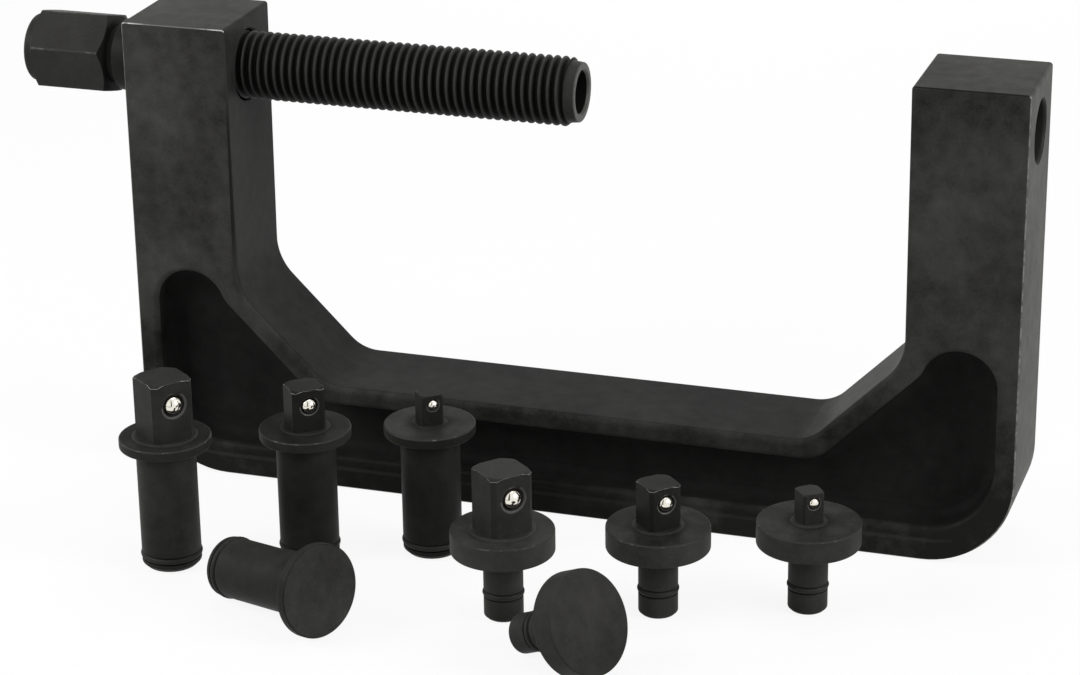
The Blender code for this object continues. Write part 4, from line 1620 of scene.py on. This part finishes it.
@dataclass(frozen=True)
class ToneAndShade:
    """How light or dark each part of one adapter is made: partly the piece's own tone, and partly painted
    shade from its neighbours and painted light on parts that face the light.
    """

    shank: float
    rim: float
    top: float
    drive: float


@dataclass
class AdapterSet:
    """The six standing adapters and the two lying pads."""

    boss_margin: float = 0.0006
    boss_height: float = 0.0004
    boss_fillet: float = 0.0006
    places: dict[tuple[str, str], tuple[float, float, float]] = field(
        default_factory=lambda: {
            ("long", "half_inch"): (-0.0960, -0.0774, -36.3),
            ("long", "three_eighths"): (-0.0607, -0.0608, -49.0),
            ("long", "quarter_inch"): (-0.0282, -0.0482, -48.1),
            ("short", "half_inch"): (0.0048, -0.0825, -41.0),
            ("short", "three_eighths"): (0.0444, -0.0684, -45.5),
            ("short", "quarter_inch"): (0.0827, -0.0544, -51.2),
        }
    )
    tones_and_shade: dict[tuple[str, str], ToneAndShade] = field(
        default_factory=lambda: {
            ("long", "half_inch"): ToneAndShade(1.05, 0.53, 0.60, 0.90),
            ("long", "three_eighths"): ToneAndShade(0.72, 0.57, 0.46, 0.52),
            ("long", "quarter_inch"): ToneAndShade(0.63, 0.40, 0.90, 0.60),
            ("short", "half_inch"): ToneAndShade(1.15, 0.98, 0.86, 0.92),
            ("short", "three_eighths"): ToneAndShade(1.06, 1.00, 0.76, 0.62),
            ("short", "quarter_inch"): ToneAndShade(1.00, 0.88, 0.85, 0.85),
        }
    )
    lying: dict[str, tuple[float, float, float]] = field(
        default_factory=lambda: {"long": (-0.0728, -0.0911, -26.4), "short": (0.0160, -0.1005, -22.8)}
    )
    pad_tones_and_shade: dict[str, tuple[float, float]] = field(
        default_factory=lambda: {"long": (0.76, 1.22), "short": (1.0, 0.95)}
    )

    def build_adapter(self, name: str, shank: Shank, square: Square) -> bpy.types.Object:
        """Models one adapter standing at the origin.

        Args:
            name: The object's name.
            shank: Its shank.
            square: Its square drive.

        Returns:
            The adapter.
        """
        boss = square.half_diagonal + self.boss_margin
        top = shank.top
        corners = shank.profile() + [
            (top, boss + self.boss_height, self.boss_fillet),
            (top + self.boss_height, boss, 0.0003),
            (top + self.boss_height, 0.0, 0.0),
        ]
        obj = Bench.turn(name, rounded_line(corners, 18.0), shank.sides)
        drive = square.build("drive", top - 0.0005, top + square.height, top + square.ball_height)
        Bench.join(obj, drive)
        return obj

    def dress_adapter(
        self, obj: bpy.types.Object, shank: Shank, square: Square, tone: ToneAndShade, axis: Matrix, label: str
    ) -> None:
        """Gives an adapter's shank, flange and square drive their own finishes.

        Args:
            obj: The adapter standing at the origin.
            shank: Its shank.
            square: Its square drive.
            tone: How light or dark its parts are.
            axis: Where its axis will be.
            label: Added to the names of its own materials.
        """
        top, ball_height = shank.top + square.height, shank.top + square.ball_height
        inner, outer = square.side * 0.45, square.side * 0.3 + shank.flange * 0.5
        # Painted shade: the flange's top darker towards the foot of the square.
        flange_top = replace(FLANGE_TOP_STEEL.toned(tone.top), root=inner, crest=outer)
        # The tones are partly painted light and shade; the flange's rim is painted light, the square's top
        # edges take wear and a painted highlight, and the ball's lip takes painted shade inside and a
        # painted highlight on its lit outer side.
        tests = (
            (TURNED_STEEL.toned(tone.shank).material(axis, label), None),
            (FLANGE_SIDE_STEEL.toned(tone.rim).material(None, label), shank.is_rim),
            (flange_top.material(axis, label), shank.is_top),
            (FLANGE_EDGE.material(), shank.is_top_edge),
            (DRIVE_STEEL.toned(tone.drive).material(None, label), shank.is_above),
            (EDGE_STEEL.material(), lambda f: square.is_wear_and_highlight_edge(f, top)),
            (SHADED_STEEL.material(), lambda f: square.is_lip(f, ball_height, False)),
            (LIP_STEEL.material(), lambda f: square.is_lip(f, ball_height, True)),
        )
        for material, test in tests:
            Bench.paint(obj, material, test)

    def lying_matrix(self, shank: Shank) -> Matrix:
        """Where a pad lies: on its flange and its shank, tilted between them."""
        x, y, heading = self.lying[shank.name]
        reach = shank.length + shank.flange_edge - shank.end_chamfer
        on_end = atan((shank.flange - shank.radius) / reach)
        reach = shank.length + shank.flange_edge - shank.ring_height
        drop = shank.flange - shank.ring_radius
        on_ring = atan2(drop, reach) - asin(shank.ring_section / 2 / hypot(drop, reach))
        tilt = min(on_end, on_ring)
        lift = shank.flange * cos(tilt) - (shank.length + shank.flange_edge) * sin(tilt)
        lean = Matrix.Rotation(pi / 2 - tilt, 4, "Y")
        return Matrix.Translation((x, y, lift)) @ Matrix.Rotation(radians(heading), 4, "Z") @ lean

    def make(self) -> None:
        """Builds, dresses and hands over the adapters, the pads and what they hold."""
        shanks = {shank.name: shank for shank in (LONG, SHORT)}
        squares = {square.name: square for square in (HALF_INCH, THREE_EIGHTHS, QUARTER_INCH)}
        rings = {name: shank.build_ring() for name, shank in shanks.items()}
        balls = {name: square.build_ball() for name, square in squares.items()}
        springs = {name: square.build_spring() for name, square in squares.items()}
        for (kind, size), (x, y, heading) in self.places.items():
            shank, square = shanks[kind], squares[size]
            name = f"{kind}_{size}"
            axis = Matrix.Translation((x, y, 0)) @ Matrix.Rotation(radians(heading), 4, "Z")
            body = name + "_adapter"
            adapter = self.build_adapter(name + "_body", shank, square)
            self.dress_adapter(adapter, shank, square, self.tones_and_shade[kind, size], axis, "_" + name)
            Bench.place(adapter, axis)
            Bench.smooth(adapter)
            Bench.hand_over(adapter, body, "black_oxide_steel", body)
            detent = axis @ Matrix.Translation((0, 0, shank.top + square.ball_height))
            in_ball = detent @ lying((square.ball_centre, 0, 0))
            in_spring = detent @ lying((square.spring_far, 0, 0))
            copies = (
                (rings[kind], "ring", axis, body, "nitrile_rubber"),
                (balls[size], "ball", in_ball, name + "_ball", "bearing_steel"),
                (springs[size], "spring", in_spring, body, "spring_steel"),
            )
            for pattern, part, matrix, carrier, slot in copies:
                piece = Bench.copy(pattern, f"{name}_{part}_piece")
                Bench.place(piece, matrix)
                Bench.hand_over(piece, carrier, slot, f"{name}_{part}")
                if part == "spring":
                    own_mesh(piece)
        for kind, shank in shanks.items():
            matrix = self.lying_matrix(shank)
            body = kind + "_press_pad"
            corners = shank.profile() + [(shank.top, 0.0, 0.0)]
            pad = Bench.turn(body + "_body", rounded_line(corners, 18.0), shank.sides)
            # The pad's stem and its face take darker and lighter copies of one finish: painted shade and
            # painted light.
            stem, face = self.pad_tones_and_shade[kind]
            Bench.paint(pad, PAD_STEEL.toned(stem).material(matrix, "_" + body))
            Bench.paint(pad, PAD_STEEL.toned(face).material(matrix, f"_{body}_face"), shank.is_top)
            Bench.place(pad, matrix)
            Bench.smooth(pad)
            Bench.hand_over(pad, body, "black_oxide_steel", body)
            ring = Bench.copy(rings[kind], body + "_ring_piece")
            Bench.place(ring, matrix)
            Bench.hand_over(ring, body, "nitrile_rubber", body + "_ring")
        for pattern in (*rings.values(), *balls.values(), *springs.values()):
            bpy.data.objects.remove(pattern)


# The studio


@dataclass(frozen=True)
class Lamp:
    """A soft square lamp: where it hangs, its side in metres, and its power in watts."""

    name: str
    place: tuple[float, float, float]
    size: float
    power: float
    mirrored: bool = True


@dataclass
class Studio:
    """A white floor, soft light and the camera."""

    lens: float = 107.113
    sensor: float = 36.0
    place: tuple[float, float, float] = (0.264763, -0.824589, 0.391791)
    yaw: float = -0.3231
    pitch: float = 0.3764
    roll: float = -0.0144
    world_level: float = 0.24
    shadow_share: float = 0.10
    cards: tuple[tuple[float, float, float, float], ...] = (
        (0.022, 0.260, 0.062, 0.500),
        (-0.130, 0.012, 0.250, 0.020),
    )
    cards_ahead: float = -0.300
    floor_size: float = 6.0
    floor_drop: float = 0.0002
    aim: tuple[float, float, float] = (0.0, 0.0, 0.07)
    lamps: tuple[Lamp, ...] = (
        Lamp("top_lamp", (0.0, 0.15, 0.85), 0.6, 1.95),
        Lamp("left_lamp", (-0.55, -0.35, 0.45), 0.35, 4.2),
        Lamp("right_lamp", (0.75, -0.15, 0.45), 0.4, 6.0),
        Lamp("back_lamp", (-0.15, 0.85, 0.40), 0.5, 3.2, False),
    )

    def add_camera(self) -> None:
        """Sets the camera at the photograph's place and angle."""
        data = bpy.data.cameras.new("camera")
        data.sensor_fit = "HORIZONTAL"
        data.sensor_width = self.sensor
        data.lens = self.lens
        data.clip_start, data.clip_end = 0.01, 20.0
        camera = bpy.data.objects.new("camera", data)
        bpy.context.scene.collection.objects.link(camera)
        ahead = Vector((sin(self.yaw) * cos(self.pitch), cos(self.yaw) * cos(self.pitch), -sin(self.pitch)))
        level = Vector((cos(self.yaw), -sin(self.yaw), 0.0))
        up = level.cross(ahead)
        right = level * cos(self.roll) + up * sin(self.roll)
        above = up * cos(self.roll) - level * sin(self.roll)
        turn = Matrix((right, above, -ahead)).transposed().to_4x4()
        camera.matrix_world = Matrix.Translation(self.place) @ turn
        bpy.context.scene.camera = camera

    @staticmethod
    def seen(sheet: Sheet) -> Value:
        """1 where a surface is looked at, in a mirror or through glass too, and 0 where it only lights."""
        path = sheet.add("LightPath")
        camera = sheet.value(path, "Is Camera Ray")
        glossy = sheet.value(path, "Is Glossy Ray")
        through = sheet.value(path, "Is Transmission Ray")
        return camera.apply("MAXIMUM", glossy).apply("MAXIMUM", through)

    def add_world(self) -> None:
        """A white surround that lights the set evenly."""
        world = bpy.data.worlds.new("surround")
        bpy.context.scene.world = world
        sheet = Sheet(world)
        seen = self.seen(sheet)
        level = self.world_level + seen * (1 - self.world_level)
        background = sheet.add("Background", None, {"Color": (1, 1, 1, 1), "Strength": level})
        sheet.add("OutputWorld", None, {"Surface": background.outputs[0]})

    def add_floor(self) -> None:
        """A white floor that keeps a faint shadow."""
        plane, place = bpy.ops.mesh.primitive_plane_add, (0, 0, -self.floor_drop)
        floor = Bench.add("studio_floor", plane, size=self.floor_size, location=place)
        Bench.fix()
        made = bpy.data.materials.new("studio_white")
        sheet = Sheet(made)
        matt = sheet.add("BsdfDiffuse", None, {"Color": (0.75, 0.75, 0.75, 1)})
        glow = sheet.add("Emission", None, {"Color": (1, 1, 1, 1), "Strength": 1.0})
        share = self.seen(sheet) * (1 - self.shadow_share)
        sheet.surface("MixShader", {0: share, 1: matt.outputs[0], 2: glow.outputs[0]})
        floor.data.materials.append(made)

    def add_lamps(self) -> None:
        """Hangs the lamps, each turned to the middle of the set."""
        for lamp in self.lamps:
            data = bpy.data.lights.new(lamp.name, "AREA")
            data.size = lamp.size
            data.energy = lamp.power
            made = bpy.data.objects.new(lamp.name, data)
            bpy.context.scene.collection.objects.link(made)
            turn = (Vector(self.aim) - Vector(lamp.place)).to_track_quat("-Z", "Y").to_matrix().to_4x4()
            made.matrix_world = Matrix.Translation(lamp.place) @ turn
            made.visible_glossy = lamp.mirrored

    def add_cards(self) -> None:
        """Black cards in front of the set, which only show as dark lines in the bright balls."""
        made = bpy.data.materials.new("studio_black")
        Sheet(made).surface("BsdfDiffuse", {"Color": (0.004, 0.004, 0.004, 1)})
        for i, (across, height, width, tall) in enumerate(self.cards):
            card = Bench.add(f"studio_card_{i + 1}", bpy.ops.mesh.primitive_plane_add, size=1.0)
            card.scale = (width, tall, 1.0)
            Bench.fix()
            spot = Matrix.Translation((across, self.cards_ahead, height))
            Bench.place(card, spot @ Matrix.Rotation(pi / 2, 4, "X"))
            card.data.materials.append(made)
            card.visible_camera = card.visible_diffuse = card.visible_shadow = False

    def make(self) -> None:
        """Builds the studio."""
        self.add_camera()
        self.add_world()
        self.add_floor()
        self.add_cards()
        self.add_lamps()
        bpy.context.scene.view_settings.view_transform = "Standard"


def main() -> None:
    """Builds every piece in order, then the studio."""
    logging.basicConfig(level=logging.INFO, format="%(name)s: %(message)s")
    CFrame().make()
    ForcingScrew().make()
    AdapterSet().make()
    Studio().make()


if __name__ == "__main__":
    main()
